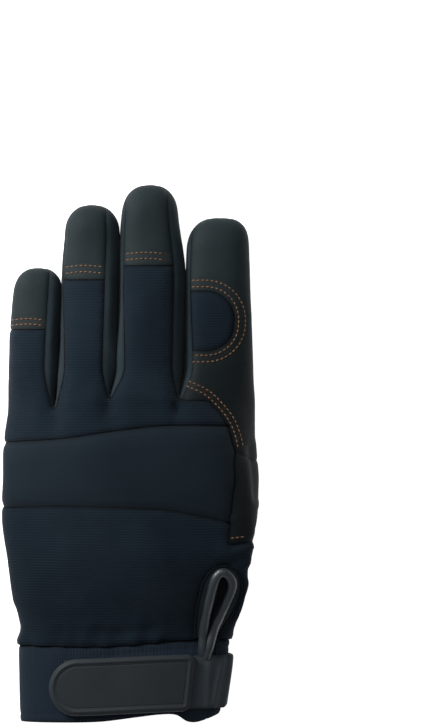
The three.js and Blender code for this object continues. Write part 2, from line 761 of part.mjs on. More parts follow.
// Splits the faces of one piece along a line where a measure of place is 0; its positive side becomes another piece.
let triangles = faces.flatMap(({ piece, corners: [a, b, c, d] }) =>
  d === undefined
    ? [{ piece, corners: [a, b, c] }]
    : [
        { piece, corners: [a, b, c] },
        { piece, corners: [a, c, d] },
      ],
);
const SNAP = 0.22;
const snapReach = 0.9;
function split(from, to, measure) {
  const rank = new Map();
  const valueAt = (k) => {
    if (!rank.has(k)) rank.set(k, measure(points[k]));
    return rank.get(k);
  };
  const chosen = triangles.filter((t) => t.piece === from);
  const loose = new Map();
  chosen.forEach(({ corners }) =>
    corners.forEach((a, i) => {
      const b = corners[(i + 1) % 3];
      for (const [near, far] of [
        [a, b],
        [b, a],
      ]) {
        const v = valueAt(near);
        const w = valueAt(far);
        if (v === 0 || v > 0 === w > 0) continue;
        const t = v / (v - w);
        const held = loose.get(near);
        const reach = t * points[near].distanceTo(points[far]);
        if (t < SNAP && reach < snapReach && (!held || t < held.t)) loose.set(near, { t, far });
      }
    }),
  );
  const fixed = new Set();
  triangles.forEach((t) => {
    if (t.piece !== from) t.corners.forEach((k) => fixed.add(k));
  });
  const moves = [...loose].filter(([k]) => !fixed.has(k));
  const places = moves.map(([k, { t, far }]) => points[k].clone().lerp(points[far], t));
  moves.forEach(([k], i) => {
    points[k].copy(places[i]);
    rank.set(k, 0);
  });
  // A corner on another piece's seam stays, and counts as lying on the line.
  loose.forEach((_, k) => rank.set(k, 0));
  const cuts = new Map();
  const cut = (a, b) => {
    const key = a < b ? a + "_" + b : b + "_" + a;
    if (!cuts.has(key)) {
      const t = valueAt(a) / (valueAt(a) - valueAt(b));
      cuts.set(key, addPoint(points[a].clone().lerp(points[b], t)));
    }
    return cuts.get(key);
  };
  const result = [];
  const crossed = new Map();
  triangles.forEach((triangle) => {
    if (triangle.piece !== from) {
      result.push(triangle);
      return;
    }
    const values = triangle.corners.map(valueAt);
    const loops = { 1: [], "-1": [] };
    triangle.corners.forEach((a, i) => {
      const b = triangle.corners[(i + 1) % 3];
      const v = values[i];
      const w = values[(i + 1) % 3];
      if (v >= 0) loops[1].push(a);
      if (v <= 0) loops[-1].push(a);
      if (v * w < 0) {
        const m = cut(a, b);
        crossed.set(a < b ? a + "_" + b : b + "_" + a, m);
        loops[1].push(m);
        loops[-1].push(m);
      }
    });
    const add = (loop, piece) => {
      for (let k = 2; k < loop.length; k++)
        result.push({ piece, corners: [loop[0], loop[k - 1], loop[k]] });
    };
    if (values.every((v) => v === 0)) {
      const centre = new THREE.Vector3();
      triangle.corners.forEach((k) => centre.add(points[k]));
      add(triangle.corners, measure(centre.divideScalar(3)) > 0 ? to : from);
      return;
    }
    if (values.some((v) => v > 0)) add(loops[1], to);
    if (values.some((v) => v < 0)) add(loops[-1], from);
  });
  // A neighbour of another piece gets the same new corner on its edge.
  triangles = result.flatMap((triangle) => {
    const { piece, corners } = triangle;
    const hits = corners.map((a, i) => {
      const b = corners[(i + 1) % 3];
      return crossed.get(a < b ? a + "_" + b : b + "_" + a);
    });
    if (hits.every((m) => m === undefined)) return [triangle];
    const loop = corners.flatMap((a, i) => (hits[i] === undefined ? [a] : [a, hits[i]]));
    const first = loop.findIndex((k) => hits.includes(k));
    const turned = [...loop.slice(first), ...loop.slice(0, first)];
    const parts = [];
    for (let k = 2; k < turned.length; k++)
      parts.push({ piece, corners: [turned[0], turned[k - 1], turned[k]] });
    return parts;
  });
}

const stripSide = (p) => {
  const { along, across } = thumbPlace(p);
  return across - read(STRIP_SEAM, "at", "side", along / thumbLength) * thumbWidth;
};
const padSide = (p) => {
  const { along, across } = thumbPlace(p);
  return across - read(PAD_SEAM, "at", "side", along / thumbLength) * thumbWidth;
};
split("index_leather", "index_window", (p) => insideWindow(p.x, p.y));
const indexSide = (p) => leftOfLine(INDEX_EDGE, p.x, p.y);
split("back_high", "index_low", indexSide);
split("band", "strip_high", indexSide);
split("back_low", "strip_low", (p) => Math.min(indexSide(p), stripSide(p)));
split("strip_high", "index_low", (p) => p.y - INDEX_LEATHER_END * handLength);
split("thumb_floor", "thumb_pad", padSide);
split("thumb_floor", "strip_floor", stripSide);
split("thumb_floor", "thumb_patch", (p) => insideOutline(PATCH, p.x, p.y));
split("back_low", "vent", (p) => insideOutline(VENT, p.x, p.y));
const RENAME = {
  index_low: "index_leather",
  strip_high: "thumb_strip",
  strip_low: "thumb_strip",
  strip_floor: "thumb_strip",
  back_under: "back_low",
  thumb_front: "thumb_pad",
};
triangles.forEach((t) => {
  if (RENAME[t.piece]) t.piece = RENAME[t.piece];
});
// A scrap of a piece that hangs on by a corner only goes to the piece that it borders most.
const edgeOwners = () => {
  const owners = new Map();
  triangles.forEach(({ corners }, i) =>
    corners.forEach((a, k) => owners.set(a + "_" + corners[(k + 1) % 3], i)),
  );
  return owners;
};
function joinScraps() {
  const owners = edgeOwners();
  const neighbours = triangles.map(({ corners }) =>
    corners.map((a, k) => owners.get(corners[(k + 1) % 3] + "_" + a)).filter((i) => i !== undefined),
  );
  const seen = new Set();
  const groups = new Map();
  triangles.forEach(({ piece }, start) => {
    if (seen.has(start)) return;
    const group = [start];
    seen.add(start);
    for (const i of group)
      for (const j of neighbours[i])
        if (!seen.has(j) && triangles[j].piece === piece) {
          seen.add(j);
          group.push(j);
        }
    if (!groups.has(piece)) groups.set(piece, []);
    groups.get(piece).push(group);
  });
  let moved = 0;
  groups.forEach((list, piece) => {
    list.sort((a, b) => b.length - a.length);
    list.slice(1).forEach((group) => {
      const votes = new Map();
      group.forEach((i) =>
        neighbours[i].forEach((j) => {
          const other = triangles[j].piece;
          if (other !== piece) votes.set(other, (votes.get(other) ?? 0) + 1);
        }),
      );
      const winner = [...votes].sort((a, b) => b[1] - a[1])[0][0];
      group.forEach((i) => {
        triangles[i] = { piece: winner, corners: triangles[i].corners };
      });
      moved += group.length;
    });
  });
  return moved;
}
for (let round = 0; round < 4 && joinScraps() > 0; round++);

// The skin's normals, shared by the pieces on both sides of a seam.
const normals = points.map(() => new THREE.Vector3());
triangles.forEach(({ corners }) => {
  const [a, b, c] = corners.map((k) => points[k]);
  const area = b.clone().sub(a).cross(c.clone().sub(a));
  corners.forEach((k) => normals[k].add(area));
});
normals.forEach((v) => v.normalize());
const pieces = new Map();
triangles.forEach((t) => {
  if (!pieces.has(t.piece)) pieces.set(t.piece, []);
  pieces.get(t.piece).push(t.corners);
});

// Walls are pressed thinner in the folds between the fingers and round the thumb's root.
const inFolds = new Map();
crotchLines.forEach((line) => line.forEach((k) => inFolds.set(k, FOLD_PRESS.crotch)));
rootWalls.forEach((k) => inFolds.set(k, FOLD_PRESS.root));
holeLoop.forEach((k) => inFolds.set(k, FOLD_PRESS.thumb));

// A sheet with a wall: its outer side, its inner side and the rim between them, drawn in from each seam by half a gap.
function panel(list, wall, crown = 0) {
  const inward = new Map();
  const twin = new Set(list.flatMap((c) => c.map((a, i) => a + "_" + c[(i + 1) % 3])));
  const rim = [];
  list.forEach((corners) =>
    corners.forEach((a, i) => {
      const b = corners[(i + 1) % 3];
      if (twin.has(b + "_" + a)) return;
      rim.push([a, b]);
      const along = points[b].clone().sub(points[a]);
      [a, b].forEach((k) => {
        const side = normals[k].clone().cross(along).normalize();
        if (!inward.has(k)) inward.set(k, []);
        inward.get(k).push(side);
      });
    }),
  );
  const ids = [...new Set(list.flat())];
  const place = new Map(ids.map((k, i) => [k, i]));
  const outer = ids.map((k) => {
    const p = points[k].clone();
    const sides = inward.get(k);
    if (!sides) return p.addScaledVector(normals[k], crown);
    const sum = sides.reduce((v, side) => v.add(side), new THREE.Vector3());
    const length = Math.max(sum.length(), 1e-6);
    const reach = Math.min((seamGap / 2) * (2 / length), seamGap * 0.85);
    return p.addScaledVector(sum.divideScalar(length), reach);
  });
  const inner = outer.map((p, i) => {
    const k = ids[i];
    const depth = inward.has(k) ? wall * (inFolds.get(k) ?? 1) : wall + crown;
    return p.clone().addScaledVector(normals[k], -depth);
  });
  const size = ids.length;
  const index = [];
  list.forEach((corners) => {
    const [a, b, c] = corners.map((k) => place.get(k));
    index.push(a, b, c, a + size, c + size, b + size);
  });
  rim.forEach(([from, to]) => {
    const a = place.get(from);
    const b = place.get(to);
    // Both pieces at a seam split its walls along the same corner to corner line.
    if (from < to) index.push(b, a, b + size, a, a + size, b + size);
    else index.push(b, a, a + size, b, a + size, b + size);
  });
  return meshOf([...outer, ...inner], index);
}

function meshOf(corners, index) {
  const geometry = new THREE.BufferGeometry();
  geometry.setAttribute(
    "position",
    new THREE.Float32BufferAttribute(corners.flatMap((p) => [p.x, p.y, p.z]), 3),
  );
  geometry.setIndex(index);
  geometry.computeVertexNormals();
  return new THREE.Mesh(geometry, new THREE.MeshStandardMaterial({ color: 0x30363c }));
}

// A sheet laid out as rows and columns of outer and inner points.
function sheet(outer, inner) {
  const rows = outer.length;
  const columns = outer[0].length;
  const corners = [...outer.flat(), ...inner.flat()];
  const at = (side, r, c) => side * rows * columns + r * columns + c;
  const index = [];
  const quad = (a, b, c, d) => index.push(a, b, c, a, c, d);
  for (let r = 0; r + 1 < rows; r++)
    for (let c = 0; c + 1 < columns; c++) {
      quad(at(0, r, c), at(0, r, c + 1), at(0, r + 1, c + 1), at(0, r + 1, c));
      quad(at(1, r, c), at(1, r + 1, c), at(1, r + 1, c + 1), at(1, r, c + 1));
    }
  for (let c = 0; c + 1 < columns; c++) {
    quad(at(0, 0, c + 1), at(0, 0, c), at(1, 0, c), at(1, 0, c + 1));
    const r = rows - 1;
    quad(at(0, r, c), at(0, r, c + 1), at(1, r, c + 1), at(1, r, c));
  }
  for (let r = 0; r + 1 < rows; r++) {
    quad(at(0, r, 0), at(0, r + 1, 0), at(1, r + 1, 0), at(1, r, 0));
    const c = columns - 1;
    quad(at(0, r + 1, c), at(0, r, c), at(1, r, c), at(1, r + 1, c));
  }
  return meshOf(corners, index);
}

// Cuff
function cuffSurface(y, angle, out) {
  const at = clamp(-y / cuffLength, -0.1, 1);
  const left = read(CUFF_SECTIONS, "at", "left", at) * (cuffWidth / 2);
  const right = read(CUFF_SECTIONS, "at", "right", at) * (cuffWidth / 2);
  const depth = read(CUFF_SECTIONS, "at", "depth", at) * cuffDepth;
  const place = (a) => sectionPoint((left + right) / 2, (right - left) / 2, depth, a);
  const [x, z] = place(angle);
  const [x0, z0] = place(angle - 1.5);
  const [x1, z1] = place(angle + 1.5);
  const length = Math.hypot(x1 - x0, z1 - z0);
  return new THREE.Vector3(x + ((z1 - z0) / length) * out, y, z - ((x1 - x0) / length) * out);
}

const CUFF_STEPS = 44;
const cuffRows = [];
for (let r = 0; r <= 4; r++) {
  const row = { outer: [], inner: [] };
  for (let c = 0; c <= CUFF_STEPS; c++) {
    const angle = lerp(cuffSplit.left, 360 + cuffSplit.right, c / CUFF_STEPS);
    const edge = cuffSurface(-cuffLength / 2, angle, 0);
    const share = edge.x / (cuffWidth / 2);
    const top = read(CUFF_EDGES, "x", "seam", share) * cuffLength - seamGap * 2;
    const end = read(CUFF_EDGES, "x", "end", share) * cuffLength;
    const y = lerp(top, end, r / 4);
    row.outer.push(cuffSurface(y, angle, 0));
    row.inner.push(cuffSurface(y, angle, -cuffWall));
  }
  cuffRows.push(row);
}
const cuffMesh = sheet(
  cuffRows.map((row) => row.outer),
  cuffRows.map((row) => row.inner),
);

// The strap's path round the cuff, measured from its sewn end.
const strapPath = [];
for (let angle = strapStart; angle <= 150; angle += 2)
  strapPath.push({ angle, p: cuffSurface(-cuffLength / 2, angle, layGap + strapWall / 2) });
strapPath.forEach((step, i) => {
  step.s = i === 0 ? 0 : strapPath[i - 1].s + step.p.distanceTo(strapPath[i - 1].p);
});
const strapAngle = (s) => read(strapPath, "s", "angle", s);
const sAtX = (x) => {
  const k = strapPath.findIndex((step, i) => i > 0 && step.angle > 20 && step.p.x < x);
  const a = strapPath[k - 1];
  const b = strapPath[k];
  return lerp(a.s, b.s, (a.p.x - x) / (a.p.x - b.p.x));
};
const tabRightS = sAtX(TAB_PLACE.right * (cuffWidth / 2));
const strapEndS = tabRightS + tabLength * 0.9;
const STRAP_STEPS = 40;
const strapRowsAt = [-0.5, -0.25, 0.25, 0.5];
const strapOuter = [];
const strapInner = [];
const strapMiddle = TAB_PLACE.middle * cuffLength;
strapRowsAt.forEach((share) => {
  const outer = [];
  const inner = [];
  for (let k = 0; k <= STRAP_STEPS; k++) {
    const s = (strapEndS * k) / STRAP_STEPS;
    const y = strapMiddle + share * strapWidth;
    const ridge = k > 3 && s < tabRightS - 6 && k % 2 ? strapRidge : 0;
    outer.push(cuffSurface(y, strapAngle(s), layGap + strapWall + ridge));
    inner.push(cuffSurface(y, strapAngle(s), layGap));
  }
  strapOuter.push(outer.reverse());
  strapInner.push(inner.reverse());
});
const strapMesh = sheet(strapOuter, strapInner);

// Tab: rings of its outline, each drawn in a little more, and a flat centre.
const tabHalf = tabWidth / 2;
const tabCorner = 3.5;
function tabOutline(inset) {
  const upper = [];
  const round = tabHalf - inset;
  for (let k = 0; k <= 7; k++) {
    const a = degToRad(lerp(10, 90, k / 7));
    upper.push([tabLength - tabHalf + round * Math.cos(a), round * Math.sin(a)]);
  }
  for (let k = 1; k <= 7; k++) upper.push([lerp(tabLength - tabHalf, tabCorner, k / 7), round]);
  const corner = Math.max(tabCorner - inset, 0.3);
  for (let k = 1; k <= 3; k++) {
    const a = degToRad(30 * k);
    upper.push([
      inset + corner - corner * Math.sin(a),
      round - corner + corner * Math.cos(a),
    ]);
  }
  return upper;
}
const tabLift = layGap * 2 + strapWall;
const tabSpot = (s, v, out) => cuffSurface(strapMiddle + v, strapAngle(tabRightS + s), tabLift + out);
const tabRings = [
  { inset: 0, out: 0 },
  { inset: 0, out: tabWall * 0.7 },
  { inset: 0.6, out: tabWall },
  { inset: rimInset, out: tabWall },
  { inset: rimInset + 0.4, out: tabWall + rimHeight },
  { inset: rimInset + rimWidth, out: tabWall + rimHeight },
  { inset: rimInset + rimWidth + 0.4, out: tabWall },
];
const tabCorners = [];
const tabIndex = [];
const tabLoops = tabRings.map(({ inset, out }) => {
  const upper = tabOutline(inset);
  const loop = [];
  upper.forEach(([s, v]) => loop.push(tabCorners.push(tabSpot(s, v, out)) - 1));
  [...upper].reverse().forEach(([s, v]) => loop.push(tabCorners.push(tabSpot(s, -v, out)) - 1));
  return loop;
});
for (let r = 1; r < tabLoops.length; r++)
  tabLoops[r].forEach((corner, k) => {
    const next = (k + 1) % tabLoops[r].length;
    const a = tabLoops[r - 1][k];
    const b = tabLoops[r - 1][next];
    tabIndex.push(b, a, corner, b, corner, tabLoops[r][next]);
  });
const fill = (loop, flip) => {
  for (let k = 0; k + 1 < loop.length / 2; k++) {
    const a = loop[k];
    const b = loop[k + 1];
    const c = loop[loop.length - 2 - k];
    const d = loop[loop.length - 1 - k];
    if (flip) tabIndex.push(a, b, c, a, c, d);
    else tabIndex.push(a, c, b, a, d, c);
  }
};
fill(tabLoops[tabLoops.length - 1], false);
fill(tabLoops[0], true);
const tabMesh = meshOf(tabCorners, tabIndex);

// The skin's place and outward direction above a point in plan
function skinAt(x, y) {
  let best = null;
  triangles.forEach(({ corners: [a, b, c] }) => {
    const [p, q, r] = [points[a], points[b], points[c]];
    const area = (q.x - p.x) * (r.y - p.y) - (r.x - p.x) * (q.y - p.y);
    if (area < 1e-6) return;
    const u = ((q.x - x) * (r.y - y) - (r.x - x) * (q.y - y)) / area;
    const v = ((r.x - x) * (p.y - y) - (p.x - x) * (r.y - y)) / area;
    const w = 1 - u - v;
    if (u < 0 || v < 0 || w < 0) return;
    const z = u * p.z + v * q.z + w * r.z;
    if (best && best.z > z) return;
    const normal = new THREE.Vector3();
    normal.addScaledVector(normals[a], u).addScaledVector(normals[b], v).addScaledVector(normals[c], w);
    best = { z, normal: normal.normalize() };
  });
  return best;
}
function onSkin(x, y, out) {
  const inside = Math.max(y, 2.2);
  const { z, normal } = skinAt(x, inside);
  return new THREE.Vector3(x, y, z).addScaledVector(normal, out);
}

// Vent: the facing and the rolled binding share a path round the slit.
const VENT_STEPS = 26;
const ventPath = Array.from({ length: VENT_STEPS + 1 }, (_, k) => {
  const at = (k / VENT_STEPS) * (ROLL.length - 1);
  const roll = ROLL.map((row, i) => ({ i, ...row }));
  const edge = VENT.slice(1, -1).map((row, i) => ({ i, ...row }));
  const middle = [read(roll, "i", "x", at) * half, read(roll, "i", "y", at) * handLength];
  const rim = [read(edge, "i", "x", at) * half, read(edge, "i", "y", at) * handLength];
  const gap = Math.hypot(rim[0] - middle[0], rim[1] - middle[1]);
  const away = [(rim[0] - middle[0]) / gap, (rim[1] - middle[1]) / gap];
  return { middle, away, gap };
});
const facingAt = (spot, reach, out) =>
  onSkin(
    spot.middle[0] + spot.away[0] * reach,
    Math.max(spot.middle[1] + spot.away[1] * reach, FACING_LOW * handLength),
    out,
  );
const facingOuter = [];
const facingInner = [];
[0, 0.5, 1].forEach((share) => {
  const reachAt = (spot) => lerp(-rollDiameter * 0.3, spot.gap + facingLap, share);
  const sunk = -knitWall - layGap * 2;
  facingOuter.push(ventPath.map((spot) => facingAt(spot, reachAt(spot), sunk)));
  facingInner.push(ventPath.map((spot) => facingAt(spot, reachAt(spot), sunk - facingWall)));
});
const facingMesh = sheet(facingOuter, facingInner);

const rollOut = rollDiameter / 2 - knitWall;
const rollPath = ventPath.map(({ middle }) => onSkin(middle[0], middle[1], rollOut));
const ROLL_SIDES = 8;
const rollCorners = [];
const rollIndex = [];
rollPath.forEach((p, k) => {
  const before = rollPath[Math.max(k - 1, 0)];
  const after = rollPath[Math.min(k + 1, rollPath.length - 1)];
  const along = after.clone().sub(before).normalize();
  const { normal } = skinAt(p.x, Math.max(p.y, 2.2));
  const side = along.clone().cross(normal).normalize();
  const up = side.clone().cross(along);
  for (let c = 0; c < ROLL_SIDES; c++) {
    const a = (c / ROLL_SIDES) * 2 * Math.PI;
    const corner = p.clone().addScaledVector(side, Math.cos(a) * (rollDiameter / 2));
    rollCorners.push(corner.addScaledVector(up, Math.sin(a) * (rollDiameter / 2)));
  }
});
for (let k = 0; k + 1 < rollPath.length; k++)
  for (let c = 0; c < ROLL_SIDES; c++) {
    const a = k * ROLL_SIDES + c;
    const b = k * ROLL_SIDES + ((c + 1) % ROLL_SIDES);
    rollIndex.push(b, a, a + ROLL_SIDES, b, a + ROLL_SIDES, b + ROLL_SIDES);
  }
const rollEnd = (rollPath.length - 1) * ROLL_SIDES;
for (let c = 1; c + 1 < ROLL_SIDES; c++) {
  rollIndex.push(0, c, c + 1);
  rollIndex.push(rollEnd, rollEnd + c + 1, rollEnd + c);
}
const rollMesh = meshOf(rollCorners, rollIndex);

// The pieces
const glove = new THREE.Group();
const add = (name, mesh) => {
  mesh.name = name;
  glove.add(mesh);
};
add("back_panel_upper", panel(pieces.get("back_high"), knitWall));
add("knuckle_band", panel(pieces.get("band"), bandWall, bandCrown));
add("back_panel_lower", panel(pieces.get("back_low"), knitWall));
add("tip_cap_little", panel(pieces.get("cap_little"), leatherWall));
add("tip_cap_ring", panel(pieces.get("cap_ring"), leatherWall));
add("tip_cap_middle", panel(pieces.get("cap_middle"), leatherWall));
add("index_overlay", panel(pieces.get("index_leather"), leatherWall));
add("index_window", panel(pieces.get("index_window"), knitWall));
add("side_wall_little_ring", panel(pieces.get("wall_0"), sideWall));
add("side_wall_ring_middle", panel(pieces.get("wall_1"), sideWall));
add("side_wall_middle_index", panel(pieces.get("wall_2"), sideWall));
add("palm_panel", panel(pieces.get("palm"), leatherWall));
add("thumb_crotch_strip", panel(pieces.get("thumb_strip"), leatherWall));
add("thumb_back", panel(pieces.get("thumb_floor"), knitWall));
add("thumb_pad", panel(pieces.get("thumb_pad"), leatherWall));
add("thumb_base_patch", panel(pieces.get("thumb_patch"), leatherWall));
add("cuff_band", cuffMesh);
add("closure_strap", strapMesh);
add("strap_tab", tabMesh);
add("vent_facing", facingMesh);
add("vent_binding", rollMesh);

const box = new THREE.Box3().setFromObject(glove);
const centre = box.getCenter(new THREE.Vector3());
glove.position.set(-centre.x, -centre.y, -box.min.z);

export { points, triangles, normals };
export default glove;
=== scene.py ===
# %% [markdown]
# # A mechanic glove, sewn from panels
# The glove lies palm down with its thumb folded under the palm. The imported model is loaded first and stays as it
# is: it says where every piece belongs. Each sewn panel then gets a finer body of its own, in the same place.

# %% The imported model
import math

import bpy
import numpy as np
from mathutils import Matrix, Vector, noise
from mathutils.bvhtree import BVHTree
from mathutils.kdtree import KDTree


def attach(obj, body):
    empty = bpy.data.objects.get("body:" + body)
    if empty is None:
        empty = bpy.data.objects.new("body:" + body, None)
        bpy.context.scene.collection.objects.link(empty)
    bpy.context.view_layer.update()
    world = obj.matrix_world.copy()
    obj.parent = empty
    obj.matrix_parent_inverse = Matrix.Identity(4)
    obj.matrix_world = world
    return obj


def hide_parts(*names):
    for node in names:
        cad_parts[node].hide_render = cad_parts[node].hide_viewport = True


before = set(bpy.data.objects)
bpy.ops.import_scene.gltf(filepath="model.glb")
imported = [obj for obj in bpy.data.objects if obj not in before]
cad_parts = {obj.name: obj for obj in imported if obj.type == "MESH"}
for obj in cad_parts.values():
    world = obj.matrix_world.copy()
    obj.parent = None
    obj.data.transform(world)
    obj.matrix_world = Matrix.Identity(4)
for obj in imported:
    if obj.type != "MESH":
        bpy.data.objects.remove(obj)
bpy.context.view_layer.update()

# %% [markdown]
# ## Camera
# The photograph looks straight down with a long lens, so near and far parts keep nearly one scale. One picture
# height covers a known length at the level of the glove's outline, and that gives the camera's height. A long lens
# was chosen over an orthographic camera because the fingers still hide a little of their outer sides.

# %% Camera
MM = 0.001
PICTURE_HEIGHT = 324.5
VIEW_CENTRE = (40.2, 40.05)
OUTLINE_LEVEL = 8.0
LENS = 150.0
SENSOR = 36.0

camera_data = bpy.data.cameras.new("camera")
camera_data.lens = LENS
camera_data.sensor_width = SENSOR
camera = bpy.data.objects.new("camera", camera_data)
bpy.context.scene.collection.objects.link(camera)
bpy.context.scene.camera = camera
camera_height = OUTLINE_LEVEL + PICTURE_HEIGHT * LENS / SENSOR
camera.location = (VIEW_CENTRE[0] * MM, VIEW_CENTRE[1] * MM, camera_height * MM)
camera_data.clip_end = 20.0
print("camera height, mm:", round(camera_height))

# %% [markdown]
# ## Light and floor
# A product picture on white has large soft lamps and almost no shadow. The room gives an even white light, one
# low lamp at the upper left rakes over the folds, and a wider, weaker one hangs high beyond the fingertips. The
# floor is white and glows a little, so that only a faint contact shadow is left.

# %% Light and floor
scene = bpy.context.scene
scene.view_settings.view_transform = "Standard"
world = bpy.data.worlds.new("room")
world.use_nodes = True
scene.world = world
background = world.node_tree.nodes["Background"]
background.inputs["Color"].default_value = (1.0, 1.0, 1.0, 1.0)
background.inputs["Strength"].default_value = 0.3


def lamp(name, place, size, power):
    data = bpy.data.lights.new(name, "AREA")
    data.size = size
    data.energy = power
    light = bpy.data.objects.new(name, data)
    light.location = place
    target = Vector((0.0, 0.0, 0.0)) - Vector(place)
    light.rotation_euler = target.to_track_quat("-Z", "Y").to_euler()
    bpy.context.scene.collection.objects.link(light)
    return light


lamp("key_lamp", (-0.46, 0.34, 0.32), 0.3, 7.5)
lamp("top_lamp", (-0.1, 0.5, 1.2), 0.8, 3.5)

FLOOR_HALF = 3.0
floor_mesh = bpy.data.meshes.new("floor")
floor_corners = [(-FLOOR_HALF, -FLOOR_HALF, 0.0), (FLOOR_HALF, -FLOOR_HALF, 0.0)]
floor_corners += [(FLOOR_HALF, FLOOR_HALF, 0.0), (-FLOOR_HALF, FLOOR_HALF, 0.0)]
floor_mesh.from_pydata(floor_corners, [], [(0, 1, 2, 3)])
floor = bpy.data.objects.new("floor", floor_mesh)
bpy.context.scene.collection.objects.link(floor)
floor.location.z = -0.0002
floor_paint = bpy.data.materials.new("floor_paint")
floor_paint.use_nodes = True
floor_shader = floor_paint.node_tree.nodes["Principled BSDF"]
floor_shader.inputs["Base Color"].default_value = (0.8, 0.8, 0.8, 1.0)
floor_shader.inputs["Roughness"].default_value = 0.9
floor_shader.inputs["Emission Color"].default_value = (1.0, 1.0, 1.0, 1.0)
floor_shader.inputs["Emission Strength"].default_value = 0.9
floor_mesh.materials.append(floor_paint)
print("floor side, m:", 2 * FLOOR_HALF)

# %% [markdown]
# ## The glove's measures
# A glove is cut flat and sewn, so its form is easiest to say as sections across the hand, the fingers and the
# thumb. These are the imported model's own sizes in millimetres. Tables go from the cuff seam to the crotches of the
# fingers, as shares of the hand's length and of half its width.

# %% Measures of the hand
HAND_LENGTH = 105.0
HAND_WIDTH = 114.0
HAND_DEPTH = 25.0
HALF = HAND_WIDTH / 2
CUFF_LENGTH = 36.0
CUFF_WIDTH = 95.0
CUFF_DEPTH = 18.0
SEAM_GAP = 0.42
LAY_GAP = 0.42
KNIT_WALL = 1.5
MODEL_ORIGIN = np.array([0.4151, -83.9, 0.0216])

# share of the length, left edge, right edge, share of the depth
HAND_SECTIONS = [
    (0.0, -0.9, 0.795, 0.75),
    (0.058, -0.866, 0.812, 0.8),
    (0.17, -0.918, 0.886, 0.9),
    (0.33, -0.965, 0.933, 0.96),
    (0.53, -1.01, 0.986, 1.0),
    (0.69, -0.996, 1.0, 1.0),
    (0.84, -0.995, 0.975, 0.96),
    (1.0, -0.956, 0.972, 0.83),
]
# place across, lower seam and upper seam of the knuckle band
BAND_SEAMS = [
    (-1.0, 0.571, 0.845),
    (-0.5, 0.579, 0.866),
    (-0.12, 0.576, 0.898),
    (0.28, 0.567, 0.922),
    (0.55, 0.54, 0.924),
    (0.8, 0.507, 0.92),
    (1.0, 0.48, 0.915),
]
# place across, cuff seam, cuff end
CUFF_EDGES = [
    (-1.0, -0.06, -1.0),
    (-0.3, -0.07, -0.985),
    (0.1, -0.034, -0.925),
    (0.3, -0.01, -0.895),
    (0.46, 0.005, -0.9),
    (0.58, 0.015, -0.985),
    (0.7, 0.02, -0.985),
    (1.0, 0.0, -0.84),
]
CROTCHES = [(-0.581, 0.984), (-0.149, 1.034), (0.384, 1.026)]
ROOT_LEFT, ROOT_RIGHT, ROOT_TOP = 0.98, 1.02, 1.17
CROTCH_DIP, CROTCH_SLOPE = 2.6, 5.0
CUFF_GATHER = 0.45
FOLD_FROM, FOLD_FULL, FOLD_LOW, FOLD_HIGH, FOLD_HEIGHT = 0.35, 0.8, 0.2, 0.5, 0.5

# name: length, width, depth, cap, root, tip, taper, left edge and right edge of the finger's back
FINGERS = [
    ("little", 61.7, 20.4, 15.5, 27.7, -0.772, -0.735, 0.98, None, 0.48),
    ("ring", 89.9, 24.6, 17.0, 33.9, -0.342, -0.305, 0.96, -0.95, 0.53),
    ("middle", 98.8, 25.8, 17.5, 36.5, 0.135, 0.149, 0.95, -0.87, 0.66),
    ("index", 84.1, 31.0, 17.5, 0.0, 0.695, 0.684, 0.88, -0.88, None),
]
TOP_ROUND, FLOOR_ROUND, FLOOR_SHARE, FLAT_PRESS = 2.4, 3.4, 0.45, 1.2
OUTER_SEAM_ANGLE, PALM_SEAM_ANGLE = 8.0, 24.0

# %% Measures of the thumb and of the seams
THUMB_LENGTH, THUMB_WIDTH, THUMB_DEPTH, THUMB_LEAN, THUMB_CLEAR = 67.0, 38.0, 13.0, 32.0, 1.6
THUMB_START = np.array([0.2 * HALF, 0.6 * HAND_LENGTH])
PALM_LIFT = (17.0, 0.15, 1.0)
BACK_LIFT = (46.0, 0.4, 0.8)
# share along the thumb, its middle line, its half width, its depth
THUMB_SECTIONS = [
    (0.0, 0.258, 0.6, 1.0),
    (0.15, 0.258, 0.58, 1.0),
    (0.48, 0.25, 0.52, 0.97),
    (0.8, 0.3, 0.44, 0.92),
    (1.0, 0.31, 0.42, 0.86),
]
INDEX_EDGE = [(0.37, 2.4), (0.37, 1.09), (0.455, 1.07), (0.584, 1.035), (0.702, 0.971)]
INDEX_EDGE += [(0.774, 0.908), (0.819, 0.817), (0.823, 0.676), (0.791, 0.57), (0.763, 0.43)]
INDEX_LEATHER_END = 0.8
WINDOW_RIGHT, WINDOW_LOW, WINDOW_HIGH, WINDOW_CORNER = 0.43, 0.287, 0.606, 0.4
STRIP_SEAM = [(-0.591, 0.91), (-0.474, 0.692), (-0.338, 0.513), (-0.192, 0.416), (0.005, 0.35)]
STRIP_SEAM += [(0.214, 0.324), (0.469, 0.3), (0.728, 0.255), (0.987, 0.242)]
PAD_SEAM = [(0.03, 2.2), (0.09, 0.95), (0.14, 0.73), (0.214, 0.697), (0.359, 0.587)]
PAD_SEAM += [(0.531, 0.482), (0.716, 0.484), (0.869, 0.592), (0.986, 0.76)]
PATCH = [(0.2, 0.33), (0.36, 0.352), (0.375, 0.42), (0.35, 0.5), (0.375, 0.55), (0.44, 0.563)]
PATCH += [(0.556, 0.528), (0.674, 0.469), (0.91, 0.333), (1.1, 0.25), (1.1, -0.1), (0.3, -0.1)]
VENT = [(0.505, -0.12), (0.505, 0.02), (0.505, 0.07), (0.512, 0.13), (0.535, 0.195), (0.565, 0.26)]
VENT += [(0.63, 0.313), (0.73, 0.333), (0.815, 0.312), (0.862, 0.265), (0.858, 0.205), (0.8, 0.125)]
VENT += [(0.722, 0.055), (0.68, 0.0), (0.66, -0.05), (0.64, -0.12)]
ROLL = [(0.564, -0.066), (0.563, 0.01), (0.575, 0.078), (0.605, 0.159), (0.632, 0.223), (0.662, 0.282)]
